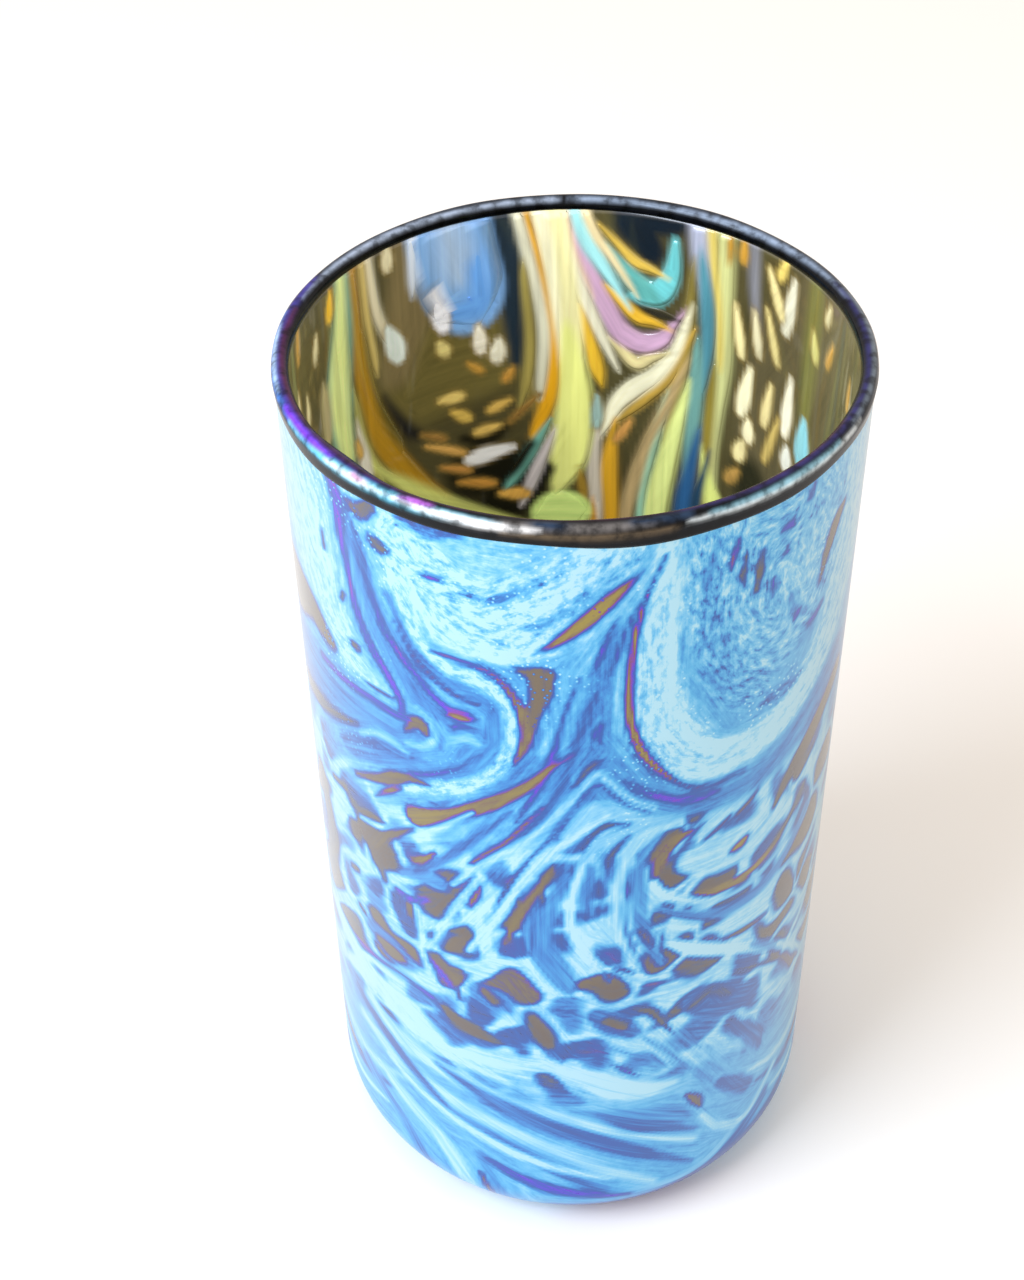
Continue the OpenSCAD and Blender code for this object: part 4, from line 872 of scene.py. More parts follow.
# %% The gather's strokes
# (glass, colour, edge, points)
INNER_STROKES = [
    # Smoky ground and the darker pools in it, with a painted shadow and a painted reflection.
    ("smoke", "#4E482C", 8, [(-70, 140, 34), (0, 140, 34), (70, 140, 34)]),
    ("smoke", "#3A3620", 8, [(-70, 70, 40), (0, 70, 40), (70, 70, 40)]),
    ("smoke", "#5C543A", 4, [(-72, 162, 10), (-60, 140, 12), (-55, 115, 8), (-52, 95, 8)]),
    ("smoke", "#6C6234", 4, [(20, 140, 10), (34, 138, 10)]),
    ("smoke", "#7A6C48", 3, [(36, 164, 4), (38, 152, 5), (42, 142, 4)]),
    ("smoke", "#14140C", 3, [(22, 114, 6), (12, 111, 6), (16, 104, 5)]),
    ("smoke", "#2A2A1C", 3, [(-48, 120, 4), (-52, 110, 6), (-42, 104, 4)]),
    ("smoke", "#2A2A1A", 3, [(47, 122, 4), (40, 112, 4)]),
    ("smoke", "#1C2C3A", 2, [(14.5, 168, 3.4), (13, 155, 3), (11.5, 145, 2.4), (11, 136, 1.6)]),
    ("smoke", "#0E1C2A", 1.6, [(-24, 165, 3.6), (-16, 164, 4), (-20, 158, 2.4)]),
    # A painted shadow: a near-black arc.
    ("smoke", "#17171A", 1.6, [(47, 137, 1.2), (42, 130, 1.8), (37, 126, 1)]),
    ("smoke", "#75743C", 2, [(-65.5, 166, 1.6), (-65, 152, 1.8), (-65, 140, 1.4)]),
    # A painted reflection: a thin grey streak high on the wall.
    ("smoke", "#7F8088", 1.4, [(-45, 166, 1.2), (-46, 157, 1.1), (-47.5, 150, 0.6)]),
    ("smoke", "#7A6C38", 1.6, [(8, 131, 1), (5, 124, 1.4), (3, 116, 1)]),
    # Left of the middle: the lime, gold and teal columns.
    ("lime", "#C9CC8A", 1.4, [(-37.5, 168, 1.8), (-38.5, 150, 1.6), (-39, 140, 1.6), (-38, 130, 1.3),
                              (-37, 120, 1.3), (-38, 108, 1)]),
    ("amber", "#D8C466", 1, [(-33, 168, 1.3), (-35, 158, 1), (-37, 150, 0.8), (-38, 142, 0.7)]),
    ("amber", "#8A7A30", 1.4, [(-36.5, 136, 0.7), (-36, 126, 1.2), (-35.5, 114, 1.2), (-36, 100, 0.8)]),
    ("lime", "#E2EC86", 1.2, [(-35.5, 118, 0.7), (-37, 113, 1.7), (-39.5, 109, 2.2), (-42, 104, 1)]),
    ("lilac", "#A8AEC4", 1.4, [(-30, 168, 1.7), (-31.5, 159, 1.6), (-33, 153, 1)]),
    ("teal", "#4F8C9C", 1.2, [(-32.5, 157, 1), (-34, 150, 1.5), (-34.6, 143, 1.3), (-34, 136, 0.8)]),
    ("teal", "#6FA39C", 1.4, [(-32, 140, 1), (-32, 131, 1.6), (-31.5, 122, 1.4), (-31, 116, 0.8)]),
    ("teal", "#2C5C8C", 1.4, [(-33, 122, 0.8), (-31.5, 114, 1.5), (-30.5, 107, 1.9), (-30, 94, 1.4)]),
    ("teal", "#24445E", 1, [(-36, 118, 0.5), (-34, 110, 1.1), (-33, 100, 1)]),
    ("amber", "#8A7C3C", 1.2, [(-30, 155, 0.6), (-29.5, 146, 1), (-28.5, 136, 1), (-26, 124, 0.9),
                               (-24.5, 110, 0.6)]),
    ("lime", "#E6F296", 1.2, [(-29.5, 131, 0.7), (-27, 122, 1.5), (-24.5, 112, 2.1), (-23, 103, 2.3),
                              (-22.5, 90, 2.3), (-22, 66, 1.6)]),
    ("teal", "#9CCFB0", 0.9, [(-24.5, 128, 0.5), (-22, 119, 0.8), (-19.5, 109, 0.8), (-19, 99, 0.6)]),
    ("amber", "#B9A070", 1.2, [(-28.5, 136, 0.7), (-24.5, 127, 1), (-20.5, 119, 1), (-17.5, 110, 1.4),
                               (-15.5, 101, 1.3), (-15, 86, 1)]),
    ("amber", "#C8A448", 0.9, [(-29.5, 142, 0.6), (-25, 134, 0.9), (-20, 129, 0.9), (-15, 125, 0.7)]),
    ("lime", "#F6F2D0", 1, [(-29, 146, 0.6), (-26.5, 139.5, 1), (-22, 134, 1.4), (-17, 130.5, 1.7),
                            (-13, 127, 1.5), (-10.5, 122.5, 0.8)]),
    ("amber", "#DCA62A", 1, [(-12, 120, 0.7), (-11, 112, 1.7), (-11.5, 104, 1.6), (-12, 94, 1.2),
                             (-12, 74, 0.8)]),
    ("cream", "#DCD2C0", 0.9, [(-8, 120, 0.6), (-7.5, 112, 1.1), (-8, 105, 1.2), (-8.4, 100, 0.9)]),
    ("amber", "#C8902C", 0.8, [(-7.4, 102, 0.7), (-7.6, 98, 0.8)]),
    # The hooks under the lip.
    ("lime", "#E2D49A", 0.8, [(-21, 137.4, 0.8), (-17, 135.8, 1.2), (-13, 138.5, 0.8)]),
    ("lilac", "#CFA8C8", 0.9, [(-26, 145, 0.5), (-23, 141.4, 1.4), (-18, 140, 2), (-13, 142, 2),
                               (-9.5, 147, 1.8), (-6.5, 152, 1.5), (-3.5, 157, 1.1), (-1, 162, 0.7)]),
    ("amber", "#2C2A22", 0.7, [(-23, 146.4, 0.8), (-17, 147, 1), (-12, 151, 0.8)]),
    ("amber", "#F0BE3A", 0.7, [(-21, 144.6, 0.7), (-17, 145.4, 1.2), (-12.5, 148.6, 0.9)]),
    ("teal", "#6FCBD0", 0.8, [(-25.5, 161, 0.6), (-25, 155, 1.5), (-22.5, 150.8, 2.1), (-19, 150, 2.1)]),
    ("teal", "#62B4B0", 1, [(-19, 150.4, 1.8), (-15.5, 152.4, 1.8), (-12, 156, 0.8)]),
    ("teal", "#9FE0E4", 0.9, [(-13, 149.5, 0.6), (-8.5, 155, 1.3), (-5, 159.5, 1.5), (-1.5, 167, 1.6)]),
    ("cream", "#EBD9A8", 0.7, [(-14.5, 152, 0.5), (-11, 156, 0.7), (-7, 160.4, 0.8), (-3.5, 167, 0.8)]),
    ("amber", "#DDBB52", 0.7, [(-20, 154.8, 0.6), (-16, 156, 0.9), (-11, 159.8, 0.5)]),
    ("lilac", "#DDBCA8", 0.9, [(-5, 151.5, 0.6), (-2, 157, 0.9), (1, 167, 1)]),
    ("cream", "#ECE8CC", 0.9, [(-11, 137, 0.6), (-8, 142, 1.1), (-5, 147.4, 1.2), (-2, 154, 1),
                               (1.5, 163, 0.8)]),
    ("amber", "#EDBE36", 0.8, [(-8, 133.6, 1.2), (-6.5, 138, 1.2), (-4, 144.5, 0.8)]),
    # The broad lime trail down the middle.
    ("lime", "#F5EFB0", 1.2, [(3.5, 168, 2.3), (1, 155, 2.5), (-1, 146, 2.2), (-2, 135, 2)]),
    ("lime", "#F2F792", 1.4, [(-1, 140, 1.6), (-2.4, 130, 3), (-2.4, 121, 3.6), (-1, 114, 3.4),
                              (1, 109, 1.6)]),
    ("cream", "#F7F3CC", 1, [(6.5, 168, 1.4), (4, 158, 1.4), (2.6, 148, 1.2), (2, 138, 0.8)]),
    ("amber", "#E6A81E", 0.9, [(9.5, 167, 0.5), (6, 156, 0.6), (4, 146, 0.8), (2.5, 136, 1), (3.4, 128, 1.4),
                               (6.6, 121, 1)]),
    ("cream", "#DDDCC2", 0.9, [(11, 166, 0.9), (8, 156, 1), (5.6, 147, 1.1), (4.6, 140, 1.1),
                               (5.4, 131, 0.8)]),
    ("amber", "#A3954F", 0.9, [(9, 152, 0.7), (8, 141, 0.9), (8.6, 133, 0.9), (10, 128, 0.5)]),
    ("smoke", "#14150E", 1, [(4, 112, 1.6), (8, 106, 1.6)]),
    ("teal", "#6FAFA0", 0.9, [(5.5, 120, 0.8), (8.5, 116, 1.3), (12.5, 111, 1)]),
    ("lilac", "#D4CCCC", 0.8, [(3.6, 118, 0.6), (6.5, 112.4, 1.1), (9, 107.5, 0.9)]),
    ("amber", "#A08030", 0.8, [(-4.5, 109, 0.9), (-5, 106.4, 0.9)]),
    ("lime", "#D6F08C", 0.8, [(-1.4, 102.4, 4.2), (2.4, 102, 4.4)]),
    # The sky pool and the sweep round it.
    ("sky", "#7FAEE4", 0.9, [(28.5, 170, 8), (25.6, 158, 8), (23, 151.4, 7.2), (21.4, 148, 4.6)]),
    ("sky", "#A4BEDC", 3, [(27, 166, 2.4), (25, 157, 3)]),
    ("sky", "#6AA6EE", 1.6, [(20, 156, 1.6), (20, 149, 2.4), (26, 148, 1.6)]),
    # A painted highlight: a bluish-white streak, laid as a cream trail.
    ("cream", "#D8E4F4", 0.9, [(36, 165, 0.9), (36.4, 157.5, 0.8)]),
    ("cream", "#DCD4B4", 0.9, [(49, 167, 1), (47.4, 156, 1.1), (45, 150, 0.9)]),
    ("cream", "#CBB56C", 0.9, [(50.6, 165, 0.8), (50, 155, 0.8), (48.6, 146, 0.8)]),
    ("amber", "#6E5E20", 1.6, [(52, 150, 1), (50, 138, 1.6), (44, 127, 1.6)]),
    ("amber", "#B0841C", 1.4, [(55, 168, 2), (54.4, 150, 1.9), (52.4, 140, 1.8), (49, 130, 2), (43, 122, 2.2),
                               (37, 115, 2), (30, 108, 1.6)]),
    ("amber", "#A8A458", 1.4, [(56, 140, 0.9), (54, 131, 1.2), (50, 123, 1)]),
    ("teal", "#6F9A86", 1.2, [(57, 167, 1.6), (58.6, 156, 3), (61.6, 146, 4.2), (62, 137, 3.6),
                              (60, 128, 2)]),
    ("lime", "#DDEC98", 1.3, [(57.6, 166, 0.9), (59.4, 156, 1.8), (61.4, 147, 2.9), (61.6, 139, 2.6),
                              (60, 131, 1.4)]),
    ("lime", "#D3D87A", 1.2, [(54, 128, 0.4), (48, 122, 0.8), (42, 117.4, 1.3), (35, 112, 1.8),
                              (27, 106.6, 2), (16, 101.4, 1.6), (6, 98, 0.9)]),
    ("cream", "#E4DFCF", 0.8, [(55.4, 133, 0.6), (54.4, 128, 1.4), (53.4, 123, 1.2)]),
    ("smoke", "#12120C", 1.2, [(8, 118, 1), (13, 113, 1.4), (20, 111.5, 1.3), (27, 116, 1)]),
    ("smoke", "#17150D", 1, [(12, 124, 0.7), (18, 120.4, 1), (25, 122, 0.8)]),
    ("cream", "#B8AC7C", 1.2, [(68, 146, 1.6), (68, 140, 1.6)]),
]

# %% The bits of coloured glass
# (glass, colour, angle, height, length, width, tilt towards the right)
BITS = [
    ("white", "#F2F4FC", 30, 149.6, 9, 3.6, 14), ("white", "#F6F0DC", 20, 142, 6, 2.8, 4),
    ("white", "#ECE8D0", 15.6, 139, 5, 3.2, -6), ("white", "#DCE8E2", 42.6, 147, 8.4, 4.4, 20),
    ("white", "#F0F0F0", 18, 117.4, 10, 3.6, -84), ("cream", "#DED6B0", 43, 163.4, 5, 2.6, 0),
    ("cream", "#DFCF84", 29.4, 142, 3.8, 2.6, 30), ("honey", "#C0923E", 21.4, 136.3, 4, 1.5, 50),
    ("honey", "#C08E3E", 13, 133.6, 3.4, 1.9, -35), ("honey", "#E8CC76", 28, 131.3, 5.4, 2.3, 86),
    ("honey", "#DEBC5C", 25.5, 127.2, 4.8, 2.2, 55), ("honey", "#DDB65C", 15.4, 127.4, 5, 2, -70),
    ("honey", "#DCB862", 18.5, 122.8, 5.4, 2, -84), ("honey", "#D8A85A", 30, 121, 9.6, 1.5, 62),
    ("honey", "#C08A44", 27.5, 116, 7, 1.5, 66), ("honey", "#9A743A", 33, 124.6, 6, 1.4, 60),
    ("honey", "#C8903F", 22, 111.6, 8, 1.9, 72), ("honey", "#E0AC50", 12.6, 107.4, 6, 2.6, 80),
    ("honey", "#8C6A34", 9.5, 126, 8, 1.4, -48), ("honey", "#F2C030", 62.4, 161.6, 5.4, 2.2, -12),
    ("honey", "#D8AE5C", 56, 131, 4, 1.4, 12), ("cream", "#D4CCA0", 70, 157, 5, 2, -16),
    ("cream", "#E8E6CC", -57, 157.4, 11, 3.1, -8), ("cream", "#EADC9C", -52.2, 158.2, 9, 2.2, 26),
    ("cream", "#D6D080", -66.5, 154, 5.4, 2.3, 15), ("cream", "#E0D08C", -52.2, 150, 10, 1.8, 20),
    ("cream", "#DCD4AC", -47.6, 149, 8.6, 1.9, 12), ("cream", "#E8DCA0", -42.5, 148, 10, 2, 12),
    ("cream", "#F2EED4", -59, 139, 12, 3.1, -3), ("cream", "#ECDC9C", -52.4, 136.6, 9, 2.3, -8),
    ("cream", "#F8F2C8", -45.6, 137, 10.6, 3.1, -9), ("cream", "#F4ECC0", -47.1, 129.4, 4.8, 2.9, 0),
    ("cream", "#F0E2A4", -45.2, 124.6, 4.6, 2.9, -15), ("honey", "#CDB468", -54.6, 130.4, 11, 1.8, -16),
    ("white", "#E2E4D6", -60, 129, 5, 3.2, 0), ("teal", "#8CD0DC", -65.4, 134.6, 10, 4.8, 0),
    ("honey", "#E8D070", -54, 163.2, 4.6, 2, -22), ("honey", "#C8963A", -42.5, 163, 4.4, 1.7, 0),
    ("honey", "#C0923A", -39, 163, 4, 1.3, 0), ("honey", "#B08A48", -43.6, 118.6, 4.4, 2.3, -38),
    ("honey", "#CC9650", -14.6, 121.4, 6, 1.8, -30), ("teal", "#A4C4BC", -8, 125, 7, 2.2, 0),
    ("cream", "#D8CFA0", -71, 161.5, 4, 1.7, -15),
]

# Between the drawn bits and lower down the wall, more bits are strewn at random from a fixed seed.
STREWN_GLASSES = [("cream", "#E4DAA8"), ("honey", "#C89A4C"), ("white", "#E4E6DC")]
STREWN_TRIES = 150
DRAWN_TO, DRAWN_FROM = 72, 100      # the drawn bits fill the wall to this angle, above this height
strewn = np.random.default_rng(5)
for _ in range(STREWN_TRIES):
    a, z = strewn.uniform(-90, 90), strewn.uniform(26, 164)
    if abs(a) < DRAWN_TO and z > DRAWN_FROM:
        continue
    length = strewn.uniform(3, 9)
    glass, colour = STREWN_GLASSES[strewn.integers(3)]
    BITS.append((glass, colour, a, z, length, max(1.4, length * 0.3), strewn.uniform(-20, 20)))

# %% [markdown]
# ## The gather
# The gather's section runs up the inner wall, over under the lip and down behind the skin. One
# function mixes the glass colour at any place on the wall, so wall, trails and bits agree.

# %% Gather mesh
GATHER_STEP = 0.8 * MM
bore_heel = (33.4 * MM, FLOOR_T + BORE_HEEL_R)
OUTER_HEEL_R = 11 * MM
UNDERSIDE_Z = 1.1 * MM
gather_r = BORE_R + GATHER_T - 0.15 * MM
section = ([(0, PONTIL_DEPTH + 0.1 * MM), (0, FLOOR_T)]
           + line_up((0.4 * MM, FLOOR_T), (bore_heel[0], FLOOR_T), 1.6 * MM)
           + arc(bore_heel, BORE_HEEL_R, -90, 0, 1.1 * MM)
           + line_up((BORE_R, bore_heel[1]), (BORE_R, WALL_TOP), GATHER_STEP)
           + [(BORE_R, WALL_TOP), (gather_r, WALL_TOP)]
           + line_up((gather_r, WALL_TOP - COARSE), (gather_r, HEEL_R), COARSE)
           + arc((gather_r - OUTER_HEEL_R, UNDERSIDE_Z + OUTER_HEEL_R), OUTER_HEEL_R, 0, -90, 4 * MM)
           + [(gather_r - OUTER_HEEL_R, UNDERSIDE_Z), (window_r + 1 * MM, UNDERSIDE_Z)]
           + [(r, ball_z + math.sqrt((pontil_ball_r + 0.05 * MM) ** 2 - r * r))
              for r in np.linspace(window_r - 0.2 * MM, 1 * MM, 14)])
gather = turned("olive_gather", section, COLUMNS)
bpy.ops.object.mode_set(mode="EDIT")
bpy.ops.mesh.select_all(action="SELECT")
bpy.ops.mesh.delete_loose(use_verts=True, use_edges=True, use_faces=False)
bpy.ops.object.mode_set(mode="OBJECT")


UNDER_LIP = 160                     # a trail that starts above this height runs up under the lip
THREAD_LENGTH, THREAD_END = 3.6, 0.12


def drawn_out(points):
    """Draws a trail's ends out to a thread, except where it runs under the lip."""
    ends = []
    for (a0, z0, w0), (a1, z1, w1) in ((points[0], points[1]), (points[-1], points[-2])):
        stretch = THREAD_LENGTH / max(math.hypot((a0 - a1) * DEG_MM, z0 - z1), 1)
        ends.append((a0 + (a0 - a1) * stretch, z0 + (z0 - z1) * stretch, THREAD_END))
    start = [] if points[0][1] > UNDER_LIP else [ends[0]]
    finish = [] if points[-1][1] > UNDER_LIP else [ends[1]]
    return start + list(points) + finish


INNER_STROKES = [(glass, colour, soft, points if glass == "smoke" else drawn_out(points))
                 for glass, colour, soft, points in INNER_STROKES]
INNER = [(linear(colour)[:3], soft * 1.5, points) for glass, colour, soft, points in INNER_STROKES]
DABS = []
for glass, colour, a, z, length, width, tilt in BITS:
    reach = length / 2 - width * 0.2
    across, along = math.sin(math.radians(tilt)) * reach / DEG_MM, math.cos(math.radians(tilt)) * reach
    spine = [(a - across, z - along, width * 0.32), (a - across * 0.3, z - along * 0.3, width * 0.46),
             (a + across, z + along, width * 0.18)]
    DABS.append((linear("#8A7238")[:3], 1.2, [(x, y, w + 0.3) for x, y, w in spine]))
    DABS.append((linear(colour)[:3], 0.5, spine))


def colour_glass(piece):
    """Mixes the gather's colour at each vertex and stores it with the combing."""
    angle, h = wall_place(place_of(piece), BORE_R, BORE_HEEL_R, bore_heel[1], facing=180)
    tint = np.tile(linear("#3A351F")[:3], (len(h), 1))
    comb = np.tile([-1.0, 0.0], (len(h), 1))
    for turn in (180, 0):
        lay_strokes(angle, h, INNER, tint, comb, turn)
        lay_strokes(angle, h, DABS, tint, comb, turn, combs=False)
    store(piece, "tint", np.column_stack([tint, np.ones(len(h))]), "FLOAT_COLOR")
    store_combing(piece, comb)
    wall_uv(piece, angle, h)


colour_glass(gather)


# %% Gather glass
def gather_glass(name, roughness):
    """Coloured glass seen through a clear surface, with a painted glow for the light coming through the wall.
    """
    material, tree, shader = new_material(name)
    tint = add_node(tree, "ShaderNodeAttribute", attribute_name="tint").outputs["Color"]
    fine, broad = combed_noise(tree, 26, 1.1, 3.0, 1.5), combed_noise(tree, 26, 3, 7.0, 1.5)
    threads = math_node(tree, "ADD", fine, broad)
    shade = ramp(tree, math_node(tree, "ADD", threads, 0.5), [(0.2, 0.84), (0.5, 1.0), (0.8, 1.14)])
    colour = mixed(tree, 1.0, tint, shade, "MULTIPLY")
    tree.links.new(colour, shader.inputs["Base Color"])
    # The colour also drives the emission: a painted glow standing in for light that comes through the wall.
    tree.links.new(colour, shader.inputs["Emission Color"])
    shader.inputs["Emission Strength"].default_value = 0.36
    shader.inputs["Roughness"].default_value = roughness
    shader.inputs["IOR"].default_value = 1.5
    shader.inputs["Coat Weight"].default_value = 0.6
    shader.inputs["Coat Roughness"].default_value = 0.04
    return material


settle(gather, "inner_gather", gather_glass("smoky olive glass", 0.3))

# %% [markdown]
# ## Trails and bits
# A trail is a thin ribbon with a lens section, bent to the wall and standing a tenth of a
# millimetre proud. A bit is a flattened bead, pressed in the same way.


# %% Ribbons and beads
PROUD = 0.1 * MM
BEAD_HALF_DEPTH = 0.3 * MM


def wrap_on_wall(x_mm, h_mm, depth):
    """Points on the inner wall: x across from the back, h up, depth inwards from the bore."""
    angle = np.radians(180 + x_mm / DEG_MM)
    r = BORE_R - depth
    return np.column_stack([r * np.sin(angle), -r * np.cos(angle), h_mm * MM])


def ribbon(points):
    """A trail: a grid bent along the path, bowed into a lens and thickened into the wall."""
    path = smooth_path(points)
    step = np.gradient(path[:, :2], axis=0)
    normal = np.column_stack([-step[:, 1], step[:, 0]]) / np.linalg.norm(step, axis=1)[:, None]
    across = np.linspace(-1, 1, 7)
    end = np.clip(np.minimum(np.arange(len(path)), np.arange(len(path))[::-1]) / 4, 0, 1)
    width = path[:, 2] * (0.35 + 0.65 * np.sqrt(end)) + 0.1
    x = path[:, :1] + normal[:, :1] * width[:, None] * across
    h = np.minimum(path[:, 1:2] + normal[:, 1:] * width[:, None] * across, (WALL_TOP / MM) - 0.4)
    depth = (0.03 + 0.09 * (1 - across ** 2) * end[:, None]) * MM
    deselect()
    bpy.ops.mesh.primitive_grid_add(x_subdivisions=len(across) - 1, y_subdivisions=len(path) - 1, size=0.02)
    piece = bpy.context.object
    piece.data.vertices.foreach_set("co", wrap_on_wall(x.ravel(), h.ravel(), depth.ravel()).ravel())
    thick = piece.modifiers.new("depth", "SOLIDIFY")
    thick.thickness = 0.4 * MM
    thick.offset = -1
    bpy.ops.object.modifier_apply(modifier=thick.name)
    return piece


def bead(angle, height, length, width, tilt):
    """A bit of glass: a flattened bead bent to the wall."""
    deselect()
    bpy.ops.mesh.primitive_uv_sphere_add(segments=20, ring_count=10, radius=0.001)
    piece = bpy.context.object
    co = place_of(piece) / MM
    t = math.radians(tilt)
    x, h = co[:, 0] * width / 2, co[:, 1] * length / 2
    x, h = x * math.cos(t) + h * math.sin(t), h * math.cos(t) - x * math.sin(t)
    depth = co[:, 2] * BEAD_HALF_DEPTH - BEAD_HALF_DEPTH + PROUD
    flat = wrap_on_wall(angle * DEG_MM + x, height + h, depth)
    piece.data.vertices.foreach_set("co", flat.ravel())
    return piece


def joined(name, pieces):
    deselect()
    for piece in pieces:
        piece.select_set(True)
    bpy.context.view_layer.objects.active = pieces[0]
    bpy.ops.object.join()
    piece = bpy.context.object
    piece.name = name
    bpy.ops.object.transform_apply(location=True, rotation=True, scale=True)
    bpy.ops.object.mode_set(mode="EDIT")
    bpy.ops.mesh.select_all(action="SELECT")
    bpy.ops.mesh.normals_make_consistent(inside=False)
    bpy.ops.object.mode_set(mode="OBJECT")
    bpy.ops.object.shade_smooth()
    return piece


# %% Placing each glass
GLASSES = {
    "lime": ("lime_trails", "lime_glass", "lime glass", 0.28),
    "amber": ("amber_trails", "amber_glass", "amber glass", 0.26),
    "teal": ("teal_trails", "teal_glass", "teal glass", 0.26),
    "lilac": ("lilac_trails", "lilac_glass", "lilac glass", 0.3),
    "sky": ("blue_pools", "sky_glass", "sky blue glass", 0.24),
    "cream": ("cream_chips", "cream_glass", "cream enamel glass", 0.34),
    "white": ("white_chips", "white_glass", "white enamel glass", 0.34),
    "honey": ("amber_chips", "honey_glass", "honey glass", 0.3),
}
for glass, (node, slot, finish, roughness) in GLASSES.items():
    parts = [ribbon(points) for kind, _, _, points in INNER_STROKES if kind == glass]
    parts += [bead(*place) for kind, _, *place in BITS if kind == glass]
    piece = joined(glass + "_inlay", parts)
    colour_glass(piece)
    settle(piece, node, gather_glass(finish, roughness))

# %% [markdown]
# ## The lip
# The dark thread is a ring laid on the end of the wall, flattened where it sits. Its end laps
# over its start at the left of the front, which leaves a low bulge on the inside of the mouth.

# %% Lip mesh
LAP_AT, LAP_REACH = -50, 13         # where the thread's end laps over its start, in degrees
SAG = 1.3 * MM
deselect()
bpy.ops.mesh.primitive_torus_add(major_segments=480, minor_segments=32, major_radius=LIP_RING_R,
                                 minor_radius=LIP_R, location=(0, 0, LIP_Z))
lip = bpy.context.object
lip.name = "dark_lip"
bpy.ops.object.transform_apply(location=True)
co = place_of(lip)
r = np.hypot(co[:, 0], co[:, 1])
angle = np.degrees(np.arctan2(co[:, 0], -co[:, 1]))
turn = np.radians(angle)
lap = np.clip(1 - np.abs(angle - LAP_AT) / LAP_REACH, 0, 1)
lap = lap * lap * (3 - 2 * lap)
grown = 1 + 0.035 * np.sin(3 * turn + 1) + 0.03 * np.sin(7 * turn + 2) + 0.02 * np.sin(13 * turn)
out, rise = (r - LIP_RING_R) * grown, (co[:, 2] - LIP_Z) * grown
out = np.where(out < 0, out * (1 + 0.45 * lap), out)
r = LIP_RING_R + out
z = np.maximum(LIP_Z + rise + 0.08 * MM * np.sin(2 * turn + 0.5), WALL_TOP)
z = np.minimum(z, lip_high[2])
# The thread has sagged a little down the outside of the wall.
section_turn = np.degrees(np.arctan2(co[:, 2] - LIP_Z, np.hypot(co[:, 0], co[:, 1]) - LIP_RING_R))
outside = (section_turn < 1) & (section_turn > -85)
unevenness = 1 + 0.2 * np.sin(5 * turn) + 0.12 * np.sin(11 * turn)
sag = np.interp(-section_turn, [0, 60, 85], [0, 1, 0.3]) * unevenness
z = np.where(outside, z - SAG * sag, z)
sagged_r = [LIP_RING_R + LIP_R, BODY_R + 0.05 * MM, BODY_R - 0.25 * MM]
r = np.where(outside, np.interp(-section_turn, [0, 60, 85], sagged_r), r)
lip.data.vertices.foreach_set("co", np.column_stack([r * np.sin(turn), -r * np.cos(turn), z]).ravel())
bpy.ops.object.shade_smooth()
ring_h = section_turn * math.radians(1) * LIP_R / MM
wall_uv(lip, angle, ring_h)


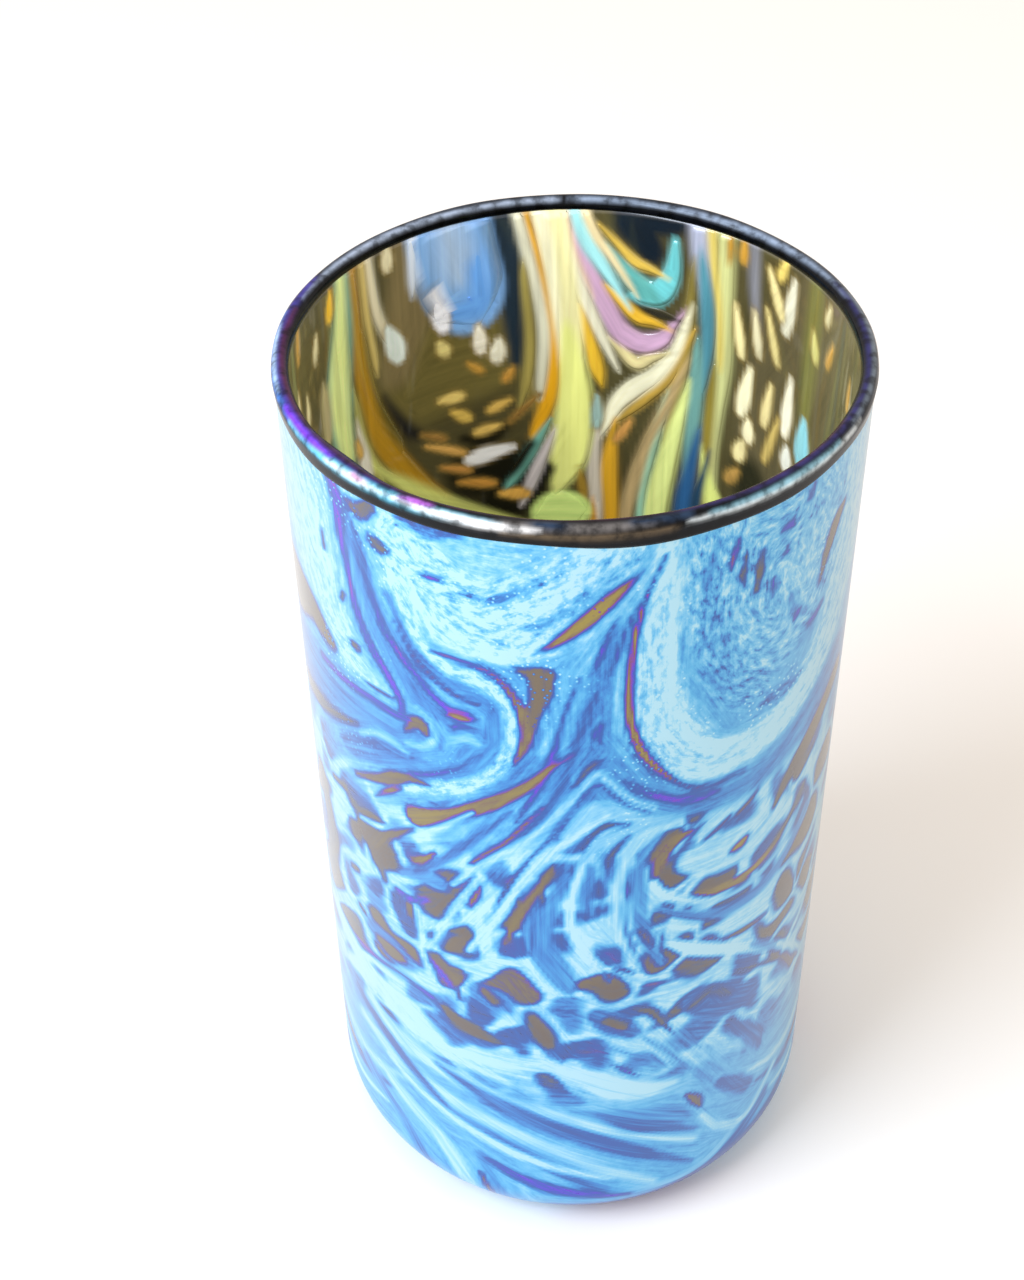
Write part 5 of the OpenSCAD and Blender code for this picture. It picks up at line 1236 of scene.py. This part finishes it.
# %% Dark lustre glass
# (colour, edge, points): angle round the mouth, and millimetres round the thread's section.
# Nought is the outermost line of the thread and 2.1 its crest.
LIP_STROKES = [
    ("#2B3340", 1, [(60, 1.4, 0.8), (120, 1.6, 0.8), (178, 1.6, 0.8)]),
    ("#2B3340", 1, [(-120, 1.6, 0.8), (-178, 1.6, 0.8)]),
    # Painted highlights: pale grey-blue lines along the back of the crest.
    ("#8D9DB4", 0.5, [(104, 2.4, 0.1), (132, 2.8, 0.5), (156, 3, 0.3), (178, 3, 0.5)]),
    ("#A4B2C8", 0.5, [(-178, 3, 0.5), (-160, 3, 0.3), (-138, 2.8, 0.5), (-108, 2.4, 0.1)]),
    ("#2C2A60", 0.6, [(16, 2.5, 0.2), (40, 2.4, 0.5), (70, 2.3, 0.4), (110, 2.3, 0.2)]),
    ("#3C1226", 0.5, [(-40, 2.9, 0.3), (-14, 3, 0.3), (20, 2.9, 0.25), (60, 2.9, 0.25)]),
    # Painted highlights on the right and front right: a slate line, a white line and a cyan line.
    ("#74808C", 0.5, [(60, 1.5, 0.1), (84, 1.4, 0.3), (110, 1.5, 0.2)]),
    ("#EAF4F8", 0.4, [(18, 0.5, 0.1), (32, 0.5, 0.3), (46, 0.6, 0.3), (62, 0.7, 0.12)]),
    ("#7FB8CC", 0.5, [(22, 0.9, 0.1), (38, 0.9, 0.3), (54, 1, 0.2)]),
    ("#6E6A68", 0.8, [(-16, 1.3, 0.4), (-2, 1.2, 0.6), (12, 1.3, 0.4)]),
    ("#24344A", 0.6, [(-9, 1.6, 0.5), (-4, 1.5, 0.7)]),
    ("#24344A", 0.6, [(8, 1.7, 0.5), (18, 1.5, 0.6)]),
    ("#6A5A44", 0.5, [(-14, 0, 0.2), (0, -0.1, 0.25), (16, 0, 0.2)]),
    ("#3A3486", 0.9, [(-36, 2.1, 0.4), (-60, 2, 0.8), (-90, 1.8, 0.8), (-116, 1.8, 0.5)]),
    ("#4A1A3E", 0.6, [(-62, 2.8, 0.4), (-84, 2.6, 0.5), (-104, 2.4, 0.3)]),
    ("#3E74C0", 0.6, [(-66, 0.9, 0.3), (-84, 0.8, 0.6), (-104, 0.9, 0.3)]),
    # Painted highlights on the left and left front: pale blue, cyan and white lines.
    ("#B8D4EE", 0.4, [(-76, 1.2, 0.1), (-86, 1.2, 0.25), (-98, 1.3, 0.1)]),
    ("#6CC6E4", 0.5, [(-16, 1, 0.3), (-30, 0.9, 0.7), (-46, 0.9, 0.7), (-66, 0.8, 0.5)]),
    ("#FFFFFF", 0.4, [(-8, 0.7, 0.15), (-16, 0.7, 0.45), (-26, 0.8, 0.45), (-36, 0.9, 0.2)]),
    ("#E8F6FA", 0.4, [(-38, 0.8, 0.2), (-45, 0.8, 0.35), (-52, 0.8, 0.2)]),
    ("#C860E0", 0.5, [(-28, 1.6, 0.25), (-31, 1.5, 0.45), (-34, 1.4, 0.25)]),
    ("#F09ACC", 0.4, [(-42.5, 1.1, 0.2), (-45, 1.2, 0.3)]),
    ("#7A3AE0", 0.5, [(-52, 1.6, 0.3), (-60, 1.4, 0.55), (-70, 1.3, 0.4)]),
    ("#3A1030", 0.5, [(-20, 2.6, 0.2), (-44, 2.5, 0.3), (-60, 2.6, 0.3)]),
    # Painted shade: black bands along the underside of the thread, where it meets the wall.
    ("#07080C", 0.4, [(-110, -0.75, 0.25), (-50, -0.75, 0.3), (0, -0.8, 0.3), (50, -0.75, 0.3),
                      (110, -0.75, 0.25)]),
    ("#07080C", 0.4, [(-178, -0.9, 0.5), (0, -1.3, 0.5), (178, -0.9, 0.5)]),
]
# The thread's own colour, with the painted highlights and painted shade laid into it.
lip_colour_and_painted_light = np.tile(linear("#0D1016")[:3], (len(co), 1))
lay_strokes(angle, ring_h, [(linear(colour)[:3], soft, points) for colour, soft, points in LIP_STROKES],
            lip_colour_and_painted_light, np.zeros((len(co), 2)), combs=False)
store(lip, "tint", np.column_stack([lip_colour_and_painted_light, np.ones(len(co))]), "FLOAT_COLOR")


def dark_lustre_glass():
    """Black glass fumed with silver: a mottled metallic film with painted highlights and shade, under a clear
    fire polish.
    """
    material, tree, shader = new_material("dark lustre glass")
    place = add_node(tree, "ShaderNodeTexCoord").outputs["Object"]
    noise = add_node(tree, "ShaderNodeTexNoise", {"Vector": place}, Scale=480.0, Detail=4.0)
    tint = add_node(tree, "ShaderNodeAttribute", attribute_name="tint").outputs["Color"]
    mottle = ramp(tree, noise.outputs["Fac"], [(0.36, 0.35), (0.5, 0.9), (0.66, 1.25)])
    tree.links.new(mixed(tree, 1.0, tint, mottle, "MULTIPLY"), shader.inputs["Base Color"])
    shader.inputs["Metallic"].default_value = 0.05
    shader.inputs["Roughness"].default_value = 0.22
    shader.inputs["Coat Weight"].default_value = 0.12
    shader.inputs["Specular IOR Level"].default_value = 0.08
    shader.inputs["Coat Roughness"].default_value = 0.04
    return material


settle(lip, "lip_wrap", dark_lustre_glass())
